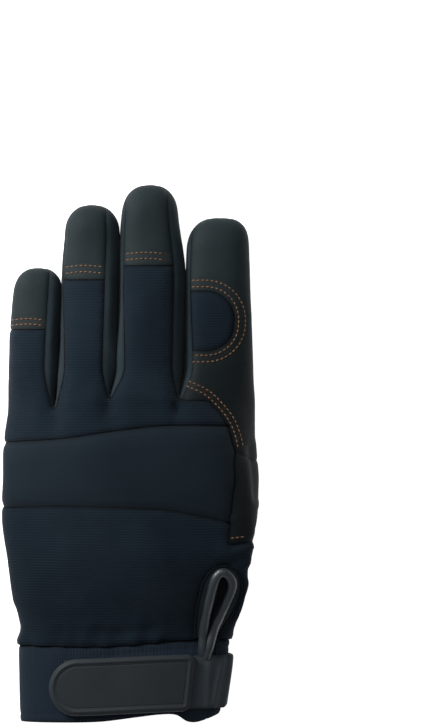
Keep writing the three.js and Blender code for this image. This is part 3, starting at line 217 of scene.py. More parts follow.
ROLL += [(0.714, 0.308), (0.77, 0.288), (0.796, 0.245), (0.748, 0.175), (0.703, 0.122), (0.664, 0.078)]
ROLL += [(0.622, 0.02), (0.592, -0.066)]

# %% [markdown]
# ## Curves through tables
# Patterns are drawn with smooth curves through a few marks. The same is done here: a cubic curve runs through the
# rows of a table, and it is read for a whole row of points at once, which numpy does quickly.

# %% Curves and sections


def smooth(t):
    s = np.clip(t, 0.0, 1.0)
    return s * s * (3 - 2 * s)


def lerp(a, b, t):
    return a + (b - a) * t


def read(table, column, value):
    """One column of a table where its first column has this value, on a smooth curve."""
    rows = np.asarray(table, dtype=float)
    keys, held = rows[:, 0], rows[:, column]
    value = np.clip(np.asarray(value, dtype=float), keys[0], keys[-1])
    i = np.clip(np.searchsorted(keys, value, side="right"), 1, len(keys) - 1)
    last = len(keys) - 1
    after = np.minimum(np.arange(last + 1) + 1, last)
    before = np.maximum(np.arange(last + 1) - 1, 0)
    slope = (held[after] - held[before]) / (keys[after] - keys[before])
    span = keys[i] - keys[i - 1]
    t = (value - keys[i - 1]) / span
    t2, t3 = t * t, t * t * t
    start = (2 * t3 - 3 * t2 + 1) * held[i - 1] + (t3 - 2 * t2 + t) * span * slope[i - 1]
    return start + (3 * t2 - 2 * t3) * held[i] + (t3 - t2) * span * slope[i]


def section_point(centre, half_width, depth, angle):
    """A place on a rounded section: 90 degrees is its top, -90 its floor side."""
    a = np.radians(angle)
    c, s = np.cos(a), np.sin(a)
    power = np.where(s >= 0, 2 / TOP_ROUND, 2 / FLOOR_ROUND)
    middle = depth * FLOOR_SHARE
    rise = np.abs(s) ** power
    x = centre + half_width * np.sign(c) * np.abs(c) ** power
    z = np.where(s >= 0, middle + (depth - middle) * rise, middle - (middle + FLAT_PRESS) * rise)
    return x, np.maximum(z, 0.0)


def angle_at(share, on_top):
    power = (TOP_ROUND if on_top else FLOOR_ROUND) / 2
    a = math.degrees(math.acos(np.clip(np.sign(share) * abs(share) ** power, -1, 1)))
    return a if on_top else -a


LEAN = math.radians(THUMB_LEAN)
THUMB_ALONG = np.array([-math.sin(LEAN), math.cos(LEAN)])
THUMB_ACROSS = np.array([math.cos(LEAN), math.sin(LEAN)])


def thumb_place(points):
    """Along the thumb from its first section, and across it."""
    away = points[:, :2] - THUMB_START
    return away @ THUMB_ALONG, away @ THUMB_ACROSS


def lift_over(points, spread, start, height):
    """How far the hand is raised by the thumb that lies under it."""
    along, across = thumb_place(points)
    at = np.clip(along / THUMB_LENGTH, 0, 1)
    middle = read(THUMB_SECTIONS, 1, at) * THUMB_WIDTH
    reach = read(THUMB_SECTIONS, 2, at) * THUMB_WIDTH
    sideways = np.maximum(np.abs(across - middle) - reach, -reach)
    beyond = np.maximum(along - THUMB_LENGTH, -reach)
    both = (sideways > 0) & (beyond > 0)
    outside = np.where(both, np.hypot(sideways, beyond), np.maximum(sideways, beyond))
    soft = PALM_LIFT[0] * 0.3
    t = (outside + soft) / (spread + soft)
    growth = smooth(points[:, 1] / (HAND_LENGTH * start))
    return (THUMB_DEPTH + THUMB_CLEAR) * height * (1 - smooth(t)) * growth


def crotch_row_y(x, dorsal):
    left = float(read(HAND_SECTIONS, 1, 1.0))
    right = float(read(HAND_SECTIONS, 2, 1.0))
    xs = [left] + [c[0] for c in CROTCHES] + [right]
    ys = [ROOT_LEFT] + [c[1] for c in CROTCHES] + [ROOT_RIGHT]
    slopes = [0.0] + [CROTCH_SLOPE] * len(CROTCHES) + [0.0]
    share = np.asarray(x) / HALF
    under = np.where(dorsal, 0.0, 1.0)
    return np.interp(share, xs, ys) * HAND_LENGTH + np.interp(share, xs, slopes) * under


def guide_y(line, x, dorsal):
    """The lines between the hand's rows: cuff seam, the band's two seams, the crotches."""
    if line == 0:
        return read(CUFF_EDGES, 1, x / (CUFF_WIDTH / 2)) * CUFF_LENGTH + SEAM_GAP
    if line == 3:
        return crotch_row_y(x, dorsal)
    return read(BAND_SEAMS, line, np.clip(x / HALF, -1, 1)) * HAND_LENGTH


print("hand, mm:", HAND_WIDTH, "x", HAND_LENGTH, "- thumb, mm:", THUMB_LENGTH)

# %% [markdown]
# ## One skin for the whole glove
# Hand, fingers and thumb are laid out as one closed net of small faces, about a millimetre each. One net can't
# leave holes where pieces meet. Each face knows the panel that it belongs to, and the seams are cut into the net
# afterwards.

# %% The hand's rows and columns
N = 20
WALL = 12
ROW_SHARES = [
    [0, 0.09, 0.2, 0.31, 0.42, 0.53, 0.66, 0.83, 1],
    [0, 0.33, 0.66, 1],
    [0, 0.5, 1],
]
ROW_STEPS = [6, 9, 5]
points = []
tops = []
faces = []


def add_points(places, top):
    first = len(points)
    points.extend(np.asarray(places, dtype=float))
    tops.extend(np.broadcast_to(top, (len(places),)))
    return list(range(first, first + len(places)))


def top_share(angle):
    return smooth((np.sin(np.radians(angle)) + 0.15) / 0.9)


row_places = []
for line, shares in enumerate(ROW_SHARES):
    for low, high in zip(shares, shares[1:]):
        for step in range(ROW_STEPS[line]):
            row_places.append((line, lerp(low, high, step / ROW_STEPS[line])))
row_places.append((2, 1.0))
LAST_ROW = len(row_places) - 1
BAND_LOW_ROW = 8 * ROW_STEPS[0]
BAND_HIGH_ROW = BAND_LOW_ROW + 3 * ROW_STEPS[1]
HOLE_FIRST = ROW_STEPS[0]
HOLE_LAST = BAND_LOW_ROW + 2 * ROW_STEPS[1]
HOLE_COLUMNS = 16

edge_left = float(read(HAND_SECTIONS, 1, 1.0))
edge_right = float(read(HAND_SECTIONS, 2, 1.0))
edge_half = (edge_right - edge_left) / 2
crotch_shares = [(c[0] - (edge_left + edge_right) / 2) / edge_half for c in CROTCHES]
COLUMN_ANGLES = [180 + OUTER_SEAM_ANGLE]
COLUMN_ANGLES += [angle_at(share, True) for share in crotch_shares]
COLUMN_ANGLES += [-OUTER_SEAM_ANGLE]
COLUMN_ANGLES += [angle_at(share, False) for share in reversed(crotch_shares)]
COLUMN_ANGLES += [-180 + OUTER_SEAM_ANGLE]
columns = np.arange(8 * N)
column_angles = np.interp(columns / N, range(9), COLUMN_ANGLES)
on_back = columns <= 4 * N


def hand_row(line, share):
    above = min(line + 1, 3)
    y = lerp(guide_y(line, np.zeros(8 * N), on_back), guide_y(above, np.zeros(8 * N), on_back), share)
    for _ in range(3):
        at = np.clip(y / HAND_LENGTH, 0, 1)
        left, right = read(HAND_SECTIONS, 1, at) * HALF, read(HAND_SECTIONS, 2, at) * HALF
        depth = read(HAND_SECTIONS, 3, at) * HAND_DEPTH
        x, z = section_point((left + right) / 2, (right - left) / 2, depth, column_angles)
        y = lerp(guide_y(line, x, on_back), guide_y(above, x, on_back), share)
    gather = CUFF_GATHER * np.cos(math.pi * columns / 4)
    puff = gather * (1 - smooth(y / (HAND_LENGTH * 0.13)))
    sideways = smooth((x / HALF - FOLD_FROM) / (FOLD_FULL - FOLD_FROM))
    through = np.clip((y / HAND_LENGTH - FOLD_LOW) / (FOLD_HIGH - FOLD_LOW), 0, 1)
    fold = np.where(on_back, FOLD_HEIGHT * np.sin(through * 4 * math.pi) * sideways, 0.0)
    out = np.maximum(np.hypot(x / 2, z - HAND_DEPTH / 2), 1e-6)
    x, z = (
        x + (x / 2 / out) * (puff + fold),
        np.maximum(z + ((z - HAND_DEPTH / 2) / out) * (puff + fold), 0),
    )
    fade = smooth(1 - (crotch_row_y(x, on_back) - y) / (HAND_LENGTH * 0.16))
    apart = np.min([np.abs(x - c[0] * HALF) for c in CROTCHES], axis=0)
    dip = CROTCH_DIP * fade * smooth(1 - apart / (HAND_WIDTH * 0.06))
    return np.stack([x, y, z + np.where(on_back, -dip, dip * 0.6)], axis=1)


hand = [add_points(hand_row(*place), top_share(column_angles)) for place in row_places]
for row in range(LAST_ROW):
    for column in range(8 * N):
        if HOLE_FIRST <= row < HOLE_LAST and 4 * N <= column < 4 * N + HOLE_COLUMNS:
            continue
        following = (column + 1) % (8 * N)
        if column < 4 * N:
            piece = "back_low" if row < BAND_LOW_ROW else "band" if row < BAND_HIGH_ROW else "back_high"
        elif row < HOLE_FIRST and column < 4 * N + HOLE_COLUMNS:
            piece = "back_low"
        else:
            piece = "palm"
        low, high = hand[row], hand[row + 1]
        faces.append((piece, [low[column], low[following], high[following], high[column]]))
print("hand:", len(row_places), "rows of", 8 * N, "points")

# %% [markdown]
# ## Fingers
# A work glove's finger is a box of cloth: a back, a palm side and a strip between neighbours. Each finger starts
# on the hand's last row, so the net stays in one piece, and closes with a rounded tip. Turned sections follow the
# real outline better than a bent tube would.

# %% Fingers
TIP_STEPS = [0, 8, 16, 24, 32, 40, 48, 56, 64, 72, 79]
FINGER_ROW = 1.3


def crotch_line(i):
    top = hand[LAST_ROW][(i + 1) * N]
    bottom = hand[LAST_ROW][8 * N - (i + 1) * N]
    shares = np.arange(1, WALL) / WALL
    places = lerp(points[top], points[bottom], shares[:, None])
    return [top] + add_points(places, 1 - shares) + [bottom]


crotch_lines = [crotch_line(i) for i in range(3)]


def finger_loop(i):
    under = lambda k: hand[LAST_ROW][(8 * N - k) % (8 * N)]
    loop = [hand[LAST_ROW][k] for k in range(i * N, (i + 1) * N + 1)]
    if i < 3:
        loop += crotch_lines[i][1:-1]
    loop += [under(k) for k in range((i + 1) * N, i * N - 1, -1) if i < 3 or k < 4 * N]
    if i > 0:
        return loop + crotch_lines[i - 1][1:-1][::-1]
    return loop[:-1]


def finger_angles(i, left_edge, right_edge):
    left = 180 + OUTER_SEAM_ANGLE if left_edge is None else angle_at(left_edge, True)
    right = -OUTER_SEAM_ANGLE if right_edge is None else angle_at(right_edge, True)
    low_right = -OUTER_SEAM_ANGLE if right_edge is None else -PALM_SEAM_ANGLE
    low_left = -180 + OUTER_SEAM_ANGLE if left_edge is None else -180 + PALM_SEAM_ANGLE
    angles = [lerp(left, right, k / N) for k in range(N + 1)]
    if i < 3:
        angles += [lerp(right, low_right, k / WALL) for k in range(1, WALL)]
    angles += [lerp(low_right, low_left, k / N) for k in range(0 if i < 3 else 1, N + 1)]
    if i > 0:
        return angles + [lerp(low_left, left - 360, k / WALL) for k in range(1, WALL)]
    return angles[:-1]


def finger_rows(length, width, cap, taper):
    """y, share of the way from the hand's shape to the finger's, and how far the tip has closed."""
    tip = HAND_LENGTH + length
    tip_round = width * taper * 0.5
    cap_y = tip - cap if cap else tip - tip_round - length * 0.16
    straight = ROOT_TOP * HAND_LENGTH
    rows = []
    for low, high in ((None, straight), (straight, cap_y), (cap_y, tip - tip_round)):
        steps = 14 if low is None else max(round((high - low) / FINGER_ROW), 2)
        for k in range(1, steps + 1):
            rows.append((high, k / steps, 1.0) if low is None else (lerp(low, high, k / steps), 1.0, 1.0))
    cap_row = 14 + max(round((cap_y - straight) / FINGER_ROW), 2)
    for degrees in TIP_STEPS[1:]:
        a = math.radians(degrees)
        rows.append((tip - tip_round * (1 - math.sin(a)), 1.0, math.cos(a) ** 0.85))
    return rows, cap_row


def finger_piece(name, i, column, row, cap_row):
    wall_right = WALL if i < 3 else 0
    if column < N:
        return "index_leather" if i == 3 else "cap_" + name if row >= cap_row else "back_high"
    if column < N + wall_right:
        return "wall_%d" % i
    if column < 2 * N + wall_right:
        return "palm"
    return "wall_%d" % (i - 1)


# Where each gap between fingers closes, and the share of the closing that the finger on its left takes
CLOSE_AT = [(166.0, 16.0, 0.6), (177.0, 20.0, 0.5), (159.5, 38.0, 0.85)]
CLOSED_GAP = -0.2
LITTLE_BULGE = 1.3


def finger_edges(i, y):
    """The left and right edge of a finger at a height, before its neighbours press on it."""
    _, length, width, _, _, root, tip, taper, _, _ = FINGERS[i]
    along = float(np.clip((y - HAND_LENGTH) / length, 0, 1))
    centre = lerp(root, tip, along) * HALF
    reach = width / 2 * lerp(1, taper, float(smooth(along)))
    bulge = LITTLE_BULGE * math.sin(math.pi * min(along * 1.15, 1)) ** 0.7 if i == 0 else 0.0
    return centre - reach - bulge, centre + reach


def closing(i, y):
    """How far the gap at a finger's right has closed at a height, from 0 to 1."""
    close, span, _ = CLOSE_AT[i]
    return float(smooth((close + span - y) / span))


def pressed_edges(i, y):
    """The same where fingers lie side by side: their walls bulge out until they touch."""
    left, right = finger_edges(i, y)
    new_left, new_right = left, right
    if i < 3:
        spare = finger_edges(i + 1, y)[0] - right - CLOSED_GAP
        new_right += max(spare, 0.0) * CLOSE_AT[i][2] * closing(i, y)
    if i > 0:
        spare = left - finger_edges(i - 1, y)[1] - CLOSED_GAP
        new_left -= max(spare, 0.0) * (1 - CLOSE_AT[i - 1][2]) * closing(i - 1, y)
    return new_left, new_right


# The left side walls narrow from the crotches up
LEFT_AT_ROOT, NARROW_FROM, NARROW_TO = -0.74, 112.0, 165.0


def left_seam(left_edge, y):
    return lerp(LEFT_AT_ROOT, left_edge, float(smooth((y - NARROW_FROM) / (NARROW_TO - NARROW_FROM))))


# The index finger's tip is fuller on its outer side
FULL_POWER = 3.0


def full_side(shrink):
    rise = math.sqrt(max(1 - shrink ** (2 / 0.85), 0.0))
    return max((1 - rise**FULL_POWER) ** (1 / FULL_POWER), shrink)


for i, (name, length, width, depth, cap, root, tip, taper, left_edge, right_edge) in enumerate(FINGERS):
    loop = finger_loop(i)
    start = np.array([points[k] for k in loop])
    start_top = np.array([tops[k] for k in loop])
    rows, cap_row = finger_rows(length, width, cap, taper)
    below = loop
    for r, (y, share, shrink) in enumerate(rows):
        # Towards the tip the seams run straight on until they meet the outline.
        left_now = None if left_edge is None else left_seam(left_edge, y)
        left_share = None if left_edge is None else max(left_now / shrink, -0.985)
        right_share = None if right_edge is None else min(right_edge / shrink, 0.985)
        angles = np.array(finger_angles(i, left_share, right_share))
        left, right = pressed_edges(i, y)
        raised = (depth - depth * shrink) * FLOOR_SHARE * 0.9
        middle, half = (left + right) / 2, (right - left) / 2
        outer = full_side(shrink) if i == 3 else shrink
        middle += half * (outer - shrink) / 2
        x, z = section_point(middle, half * (outer + shrink) / 2, depth * shrink, angles)
        join = smooth(share) ** 0.7
        place = np.stack([x, np.full(len(x), y), z + raised], axis=1)
        place[:, 0] = lerp(start[:, 0], place[:, 0], join)
        place[:, 1] = lerp(start[:, 1], y, share)
        place[:, 2] = lerp(start[:, 2], place[:, 2], join)
        ring = add_points(place, lerp(start_top, top_share(angles), join))
        for k in range(len(ring)):
            q = (k + 1) % len(ring)
            faces.append((finger_piece(name, i, k, r, cap_row), [below[k], below[q], ring[q], ring[k]]))
        below = ring
    end = np.mean([points[k] for k in below], axis=0)
    end[1] = HAND_LENGTH + length
    end_point = add_points([end], 0.07)[0]
    for k in range(len(below)):
        palm_side = N + (WALL if i < 3 else 0) <= k < len(below) - (WALL if i > 0 else 0)
        tip_piece = "palm" if palm_side else "index_leather" if i == 3 else "cap_" + name
        faces.append((tip_piece, [below[k], below[(k + 1) % len(below)], end_point]))
print("with fingers:", len(points), "points")

# %% [markdown]
# ## Thumb
# The thumb is folded flat under the palm, so its net leaves the palm's side through a long opening, turns down and
# runs back under the hand. A smooth curve from the opening to the thumb's first section makes that turn.

# %% Thumb
hand_now = np.array(points)
hand_tops = np.array(tops)
palm_lift = lift_over(hand_now, *PALM_LIFT)
back_lift = lift_over(hand_now, *BACK_LIFT)
hand_now[:, 2] += lerp(palm_lift, back_lift, hand_tops)
points = list(hand_now)

edge = 4 * N
hole_loop = [hand[HOLE_LAST][edge + c] for c in range(HOLE_COLUMNS)]
hole_loop += [hand[r][edge + HOLE_COLUMNS] for r in range(HOLE_LAST, HOLE_FIRST, -1)]
hole_loop += [hand[HOLE_FIRST][edge + c] for c in range(HOLE_COLUMNS, 0, -1)]
hole_loop += [hand[r][edge] for r in range(HOLE_FIRST, HOLE_LAST)]
HOLE_ROWS = HOLE_LAST - HOLE_FIRST
SIDE_ANGLES = [-25, 25, 155, 205, 335]
thumb_angles = []
for side, count in enumerate([HOLE_COLUMNS, HOLE_ROWS, HOLE_COLUMNS, HOLE_ROWS]):
    for k in range(count):
        thumb_angles.append(lerp(SIDE_ANGLES[side], SIDE_ANGLES[side + 1], k / count))
thumb_angles = np.array(thumb_angles)
THUMB_TIP_ROUND = THUMB_WIDTH * 0.37


def thumb_ring(at, shrink):
    middle = read(THUMB_SECTIONS, 1, min(at, 1)) * THUMB_WIDTH
    reach = read(THUMB_SECTIONS, 2, min(at, 1)) * THUMB_WIDTH * shrink
    depth = read(THUMB_SECTIONS, 3, min(at, 1)) * THUMB_DEPTH
    across, z = section_point(middle, reach, depth * shrink, thumb_angles)
    plan = THUMB_START + at * THUMB_LENGTH * THUMB_ALONG + across[:, None] * THUMB_ACROSS
    return np.column_stack([plan, z + depth * (1 - shrink) * FLOOR_SHARE * 0.9])


ROOT_STEPS = 22
hole = np.array([points[k] for k in hole_loop])
first = thumb_ring(0, 1.0)
thumb_rings = []
for k in range(1, ROOT_STEPS):
    t = k / ROOT_STEPS
    t2, t3 = t * t, t * t * t
    down = np.zeros_like(hole)
    down[:, 2] = -(hole[:, 2] - first[:, 2]) * 1.9
    away = np.linalg.norm(hole - first, axis=1) * 0.9
    leave = np.column_stack([away[:, None] * THUMB_ALONG, np.zeros(len(hole))])
    ring = hole * (2 * t3 - 3 * t2 + 1) + down * (t3 - 2 * t2 + t)
    ring = ring + first * (3 * t2 - 2 * t3) + leave * (t3 - t2)
    ring[:, 2] = np.maximum(ring[:, 2], 0)
    thumb_rings.append(ring)
thumb_rings.append(first)
SHAFT_STEPS = 42
for k in range(1, SHAFT_STEPS):
    thumb_rings.append(thumb_ring(k / SHAFT_STEPS * (1 - THUMB_TIP_ROUND / THUMB_LENGTH), 1.0))
for degrees in TIP_STEPS:
    a = math.radians(degrees)
    at = 1 - THUMB_TIP_ROUND / THUMB_LENGTH * (1 - math.sin(a))
    thumb_rings.append(thumb_ring(at, math.cos(a) ** 0.85))
FOLD_RINGS = 5
below = hole_loop
for r, places in enumerate(thumb_rings):
    ring = add_points(places, 0.0)
    for k in range(len(ring)):
        q = (k + 1) % len(ring)
        middle = (thumb_angles[k] + thumb_angles[k if q < k else q]) / 2
        in_fold = r < FOLD_RINGS and HOLE_COLUMNS <= k < HOLE_COLUMNS + HOLE_ROWS
        piece = "palm" if in_fold else "thumb_pad" if 0 < middle < 180 else "thumb_floor"
        faces.append((piece, [below[q], below[k], ring[k], ring[q]]))
    below = ring
end = np.mean([points[k] for k in below], axis=0)
along_end = (end[:2] - THUMB_START) @ THUMB_ALONG
end[:2] += (THUMB_LENGTH - along_end) * THUMB_ALONG
end_point = add_points([end], 0.0)[0]
for k in range(len(below)):
    piece = "thumb_pad" if 0 < thumb_angles[k] < 180 else "thumb_floor"
    faces.append((piece, [below[(k + 1) % len(below)], below[k], end_point]))
print("with the thumb:", len(points), "points,", len(faces), "faces")

# %% [markdown]
# ## Cutting the net along the seams
# A seam is a line where some measure of place is zero, such as the distance from a drawn curve. Faces that the line
# crosses are cut in two there, so a seam stays a clean curve and doesn't step from face to face. Points very near
# the line are first moved onto it, which leaves no thin slivers.

# %% Measures for the seams


def to_segments(line, places):
    """Nearest distance to an open line of corners, and on which side of it each place lies."""
    corners = np.array(line) * (HALF, HAND_LENGTH)
    best = np.full(len(places), np.inf)
    side = np.zeros(len(places))
    for a, b in zip(corners, corners[1:]):
        run = b - a
        away = places[:, :2] - a
        t = np.clip(away @ run / (run @ run), 0, 1)
        gap = np.linalg.norm(away - t[:, None] * run, axis=1)
        turn = run[0] * away[:, 1] - run[1] * away[:, 0]
        closer = gap < best - 1e-9
        best[closer], side[closer] = gap[closer], turn[closer]
    return best, side


def left_of_line(line, places):
    gap, side = to_segments(line, places)
    return np.where(side > 0, gap, -gap)


def inside_outline(outline, places):
    gap, _ = to_segments(outline + outline[:1], places)
    corners = np.array(outline) * (HALF, HAND_LENGTH)
    inside = np.zeros(len(places), dtype=bool)
    x, y = places[:, 0], places[:, 1]
    for (ax, ay), (bx, by) in zip(corners, np.roll(corners, -1, axis=0)):
        if ay == by:
            continue
        crosses = (ay > y) != (by > y)
        inside ^= crosses & (x < (bx - ax) * (y - ay) / (by - ay) + ax)
    return np.where(inside, gap, -gap)


def window_gap(places):
    """Distance inside the rounded knit window of the index finger."""
    _, length, width, _, _, root, _, _, _, _ = FINGERS[3]
    low = HAND_LENGTH + WINDOW_LOW * length
    high = HAND_LENGTH + WINDOW_HIGH * length
    right = root * HALF + WINDOW_RIGHT * width / 2
    corner = WINDOW_CORNER * width
    dx = np.maximum(places[:, 0] - (right - corner), 0)
    dy = np.maximum(np.abs(places[:, 1] - (low + high) / 2) - ((high - low) / 2 - corner), 0)
    return corner - np.hypot(dx, dy)


def thumb_seam(seam):
    def measure(places):
        along, across = thumb_place(places)
        return across - read(seam, 1, along / THUMB_LENGTH) * THUMB_WIDTH

    return measure


# %% Cutting
SNAP = 0.22


def split(piece, other, measure):
    """Cuts one piece's faces where the measure is 0; its positive side becomes the other piece."""
    chosen = [corners for owner, corners in faces if owner == piece]
    taken = {k for owner, corners in faces if owner != piece for k in corners}
    ids = sorted({k for corners in chosen for k in corners})
    value = dict(zip(ids, measure(np.array([points[k] for k in ids])).tolist()))
    loose = {}
    for corners in chosen:
        for a, b in zip(corners, corners[1:] + corners[:1]):
            for near, far in ((a, b), (b, a)):
                if value[near] * value[far] >= 0:
                    continue
                t = value[near] / (value[near] - value[far])
                if t < SNAP and t < loose.get(near, (1.0,))[0]:
                    loose[near] = (t, far)
    moved = {k: lerp(points[k], points[far], t) for k, (t, far) in loose.items() if k not in taken}
    for k, place in moved.items():
        points[k] = place
    for k in loose:
        value[k] = 0.0
    cuts = {}
    result = []
    for owner, corners in faces:
        if owner != piece:
            result.append((owner, corners))
            continue
        sides = {1: [], -1: []}
        for a, b in zip(corners, corners[1:] + corners[:1]):
            if value[a] >= 0:
                sides[1].append(a)
            if value[a] <= 0:
                sides[-1].append(a)
            if value[a] * value[b] < 0:
                key = (min(a, b), max(a, b))
                if key not in cuts:
                    t = value[a] / (value[a] - value[b])
                    cuts[key] = add_points([lerp(points[a], points[b], t)], lerp(tops[a], tops[b], t))[0]
                sides[1].append(cuts[key])
                sides[-1].append(cuts[key])
        if all(value[k] == 0 for k in corners):
            centre = np.mean([points[k] for k in corners], axis=0)[None, :]
            result.append((other if measure(centre)[0] > 0 else piece, corners))
            continue
        if any(value[k] > 0 for k in corners):
            result.append((other, sides[1]))
        if any(value[k] < 0 for k in corners):
            result.append((piece, sides[-1]))
    faces[:] = [(owner, corners) for owner, corners in result if len(corners) > 2]


def index_side(places):
    return left_of_line(INDEX_EDGE, places)


strip_side = thumb_seam(STRIP_SEAM)
split("index_leather", "index_window", window_gap)
split("back_high", "index_low", index_side)
split("band", "strip_high", index_side)
STRIP_END = (44.0, 43.9, 0.15)


def strip_back(places):
    """The strip's part on the back ends at a nearly level edge."""
    x, y, rise = STRIP_END
    return np.minimum(index_side(places), places[:, 1] - y - (places[:, 0] - x) * rise)


def overlay_end(places):
    """The index leather ends in a slant towards the thumb."""
    return places[:, 1] - INDEX_LEATHER_END * HAND_LENGTH + (places[:, 0] - 49.0) * 0.5


split("back_low", "strip_low", strip_back)
split("strip_high", "index_low", overlay_end)
split("thumb_floor", "thumb_pad", thumb_seam(PAD_SEAM))
split("thumb_floor", "strip_floor", strip_side)
split("thumb_floor", "thumb_patch", lambda p: inside_outline(PATCH, p))
split("back_low", "vent", lambda p: inside_outline(VENT, p))
RENAMED = {"index_low": "index_leather", "strip_high": "thumb_strip"}
RENAMED.update({"strip_low": "thumb_strip", "strip_floor": "thumb_strip"})
faces = [(RENAMED.get(owner, owner), corners) for owner, corners in faces]
print("after cutting:", len(faces), "faces")

# %% [markdown]
# A cut can leave a scrap of cloth that hangs on by one corner. A sewer would trim it off, and here it goes to the
# panel that it borders most.

# %% Scraps


def join_scraps():
    owner_of = {}
    for i, (_, corners) in enumerate(faces):
        for a, b in zip(corners, corners[1:] + corners[:1]):
            owner_of[(a, b)] = i
    beside = []
    for _, corners in faces:
        pairs = zip(corners, corners[1:] + corners[:1])
        beside.append([owner_of[(b, a)] for a, b in pairs if (b, a) in owner_of])
    seen = [False] * len(faces)
    groups = {}
    for start, (piece, _) in enumerate(faces):
        if seen[start]:
            continue
        seen[start] = True
        group = [start]
        for i in group:
            for j in beside[i]:
                if not seen[j] and faces[j][0] == piece:
                    seen[j] = True
                    group.append(j)
        groups.setdefault(piece, []).append(group)
    moved = 0
    for piece, found in groups.items():
        found.sort(key=len, reverse=True)
        for group in found[1:]:
            votes = [faces[j][0] for i in group for j in beside[i] if faces[j][0] != piece]
            if not votes:
                continue
            winner = max(sorted(set(votes)), key=votes.count)
            for i in group:
                faces[i] = (winner, faces[i][1])
            moved += len(group)
    return moved


for _ in range(3):
    joined = join_scraps()
    print("faces joined to a neighbour:", joined)
    if joined == 0:
        break

# %% [markdown]
# ## A settled skin
# The net still has small steps where its formulas meet. Cloth has none, because it spreads them out. A few rounds
# of moving each point towards the middle of its neighbours do the same, with the cuff seam held where it is.

# %% Settling
SETTLE_ROUNDS = 4
skin = np.array(points)
pairs = {(min(a, b), max(a, b)) for _, c in faces for a, b in zip(c, c[1:] + c[:1])}
pair_ends = np.array(sorted(pairs))
held = np.zeros(len(skin), dtype=bool)
held[hand[0]] = True
for _ in range(SETTLE_ROUNDS):
    total = np.zeros_like(skin)
    count = np.zeros(len(skin))
    for a, b in ((0, 1), (1, 0)):
        np.add.at(total, pair_ends[:, a], skin[pair_ends[:, b]])
        np.add.at(count, pair_ends[:, a], 1)
    middle = total / np.maximum(count, 1)[:, None]
    loose = ~held & (count > 2)
    skin[loose] = lerp(skin[loose], middle[loose], 0.5)
skin[:, 2] = np.maximum(skin[:, 2], 0)


def face_normals(corner_lists, places):
    """Area vectors of faces with any number of corners."""
    vectors = np.zeros((len(corner_lists), 3))
    for size in (3, 4, 5, 6):
        rows = [i for i, c in enumerate(corner_lists) if len(c) == size]
        if not rows:
            continue
        spots = places[np.array([corner_lists[i] for i in rows])]
        for k in range(2, size):
            vectors[rows] += np.cross(spots[:, k - 1] - spots[:, 0], spots[:, k] - spots[:, 0])
    return vectors


def point_normals(corner_lists, places):
    vectors = face_normals(corner_lists, places)
    owners = np.concatenate([np.full(len(c), i) for i, c in enumerate(corner_lists)])
    ids = np.concatenate([np.array(c) for c in corner_lists])
    normals = np.zeros_like(places)
    np.add.at(normals, ids, vectors[owners])
    return normals / np.maximum(np.linalg.norm(normals, axis=1), 1e-9)[:, None]


skin_normals = point_normals([c for _, c in faces], skin)
print("settled points:", len(skin))

# %% [markdown]
# ## Where the stitches run
# Orange rows of stitches hold the leather on. Their paths are drawn in plan, beside the seams that they follow,
# before any cloth is shaped, because each row also pulls the cloth down into a shallow channel.

# %% Stitch paths
STITCH_ROWS = {}


def finger_span(i, y):
    _, length, width, _, _, root, tip, taper, left_edge, right_edge = FINGERS[i]
    along = np.clip((y - HAND_LENGTH) / length, 0, 1)
    centre = lerp(root, tip, along) * HALF
    reach = width / 2 * lerp(1, taper, float(smooth(along)))
    left = -0.97 if left_edge is None else left_edge
    right = 0.9 if right_edge is None else right_edge
    bulge = LITTLE_BULGE if i == 0 else 0.0
    return centre + left * reach - bulge, centre + right * reach


CAP_ROWS = [(1.5, 3.9), (2.7, 5.5), (2.3, 5.0)]
for i in range(3):
    name, length, _, _, cap = FINGERS[i][:5]
    cap_y = HAND_LENGTH + length - cap
    for row, rise in enumerate(CAP_ROWS[i]):
        left, right = finger_span(i, cap_y + rise)
        across = np.linspace(left + 0.3, right - 0.2, 24)
        arch = 0.7 * np.sin(np.linspace(0, math.pi, 24))
        path = np.column_stack([across, cap_y + rise + arch])
        STITCH_ROWS["stitches_cap_%s_%d" % (name, row)] = ("top", "leather", path)

_, length, width, _, _, root, _, _, left_edge, _ = FINGERS[3]
window_low = HAND_LENGTH + WINDOW_LOW * length
window_high = HAND_LENGTH + WINDOW_HIGH * length
window_corner = WINDOW_CORNER * width
window_x = root * HALF + WINDOW_RIGHT * width / 2 - window_corner
for row, out in enumerate((1.8, 4.7)):
    round_size = window_corner + out
    start = finger_span(3, window_high)[0] + 0.3
    path = [(x, window_high + out) for x in np.linspace(start, window_x, 12)]
    for a in np.radians(np.linspace(90, 0, 14)):
        path.append((window_x + round_size * math.cos(a), window_high - window_corner + round_size * math.sin(a)))
    for a in np.radians(np.linspace(0, -90, 14)):
        path.append((window_x + round_size * math.cos(a), window_low + window_corner + round_size * math.sin(a)))
    path += [(x, window_low - out) for x in np.linspace(window_x, start, 12)]
    STITCH_ROWS["stitches_window_%d" % row] = ("top", "leather", np.array(path))


def beside(path, gap):
    """A path moved to its own left by a gap."""
    path = np.asarray(path, dtype=float)
    run = np.gradient(path, axis=0)
    run /= np.linalg.norm(run, axis=1)[:, None]
    return path + gap * np.column_stack([-run[:, 1], run[:, 0]])


def curve_through(corners, count):
    corners = np.array(corners) * (HALF, HAND_LENGTH)
    table = np.column_stack([np.arange(len(corners)), corners])
    at = np.linspace(0, len(corners) - 1, count)
    return np.column_stack([read(table, 1, at), read(table, 2, at)])


index_curve = curve_through(INDEX_EDGE[1:8], 60)
index_curve = index_curve[index_curve[:, 1] > 85.5]
for row, gap in enumerate((1.0, 3.3)):
    STITCH_ROWS["stitches_index_%d" % row] = ("top", "leather", beside(index_curve, gap)[7:])
crotch_row = np.column_stack([np.linspace(44.3, 51.0, 8), np.linspace(47.0, 47.7, 8)])
STITCH_ROWS["stitches_crotch"] = ("top", "leather", crotch_row)


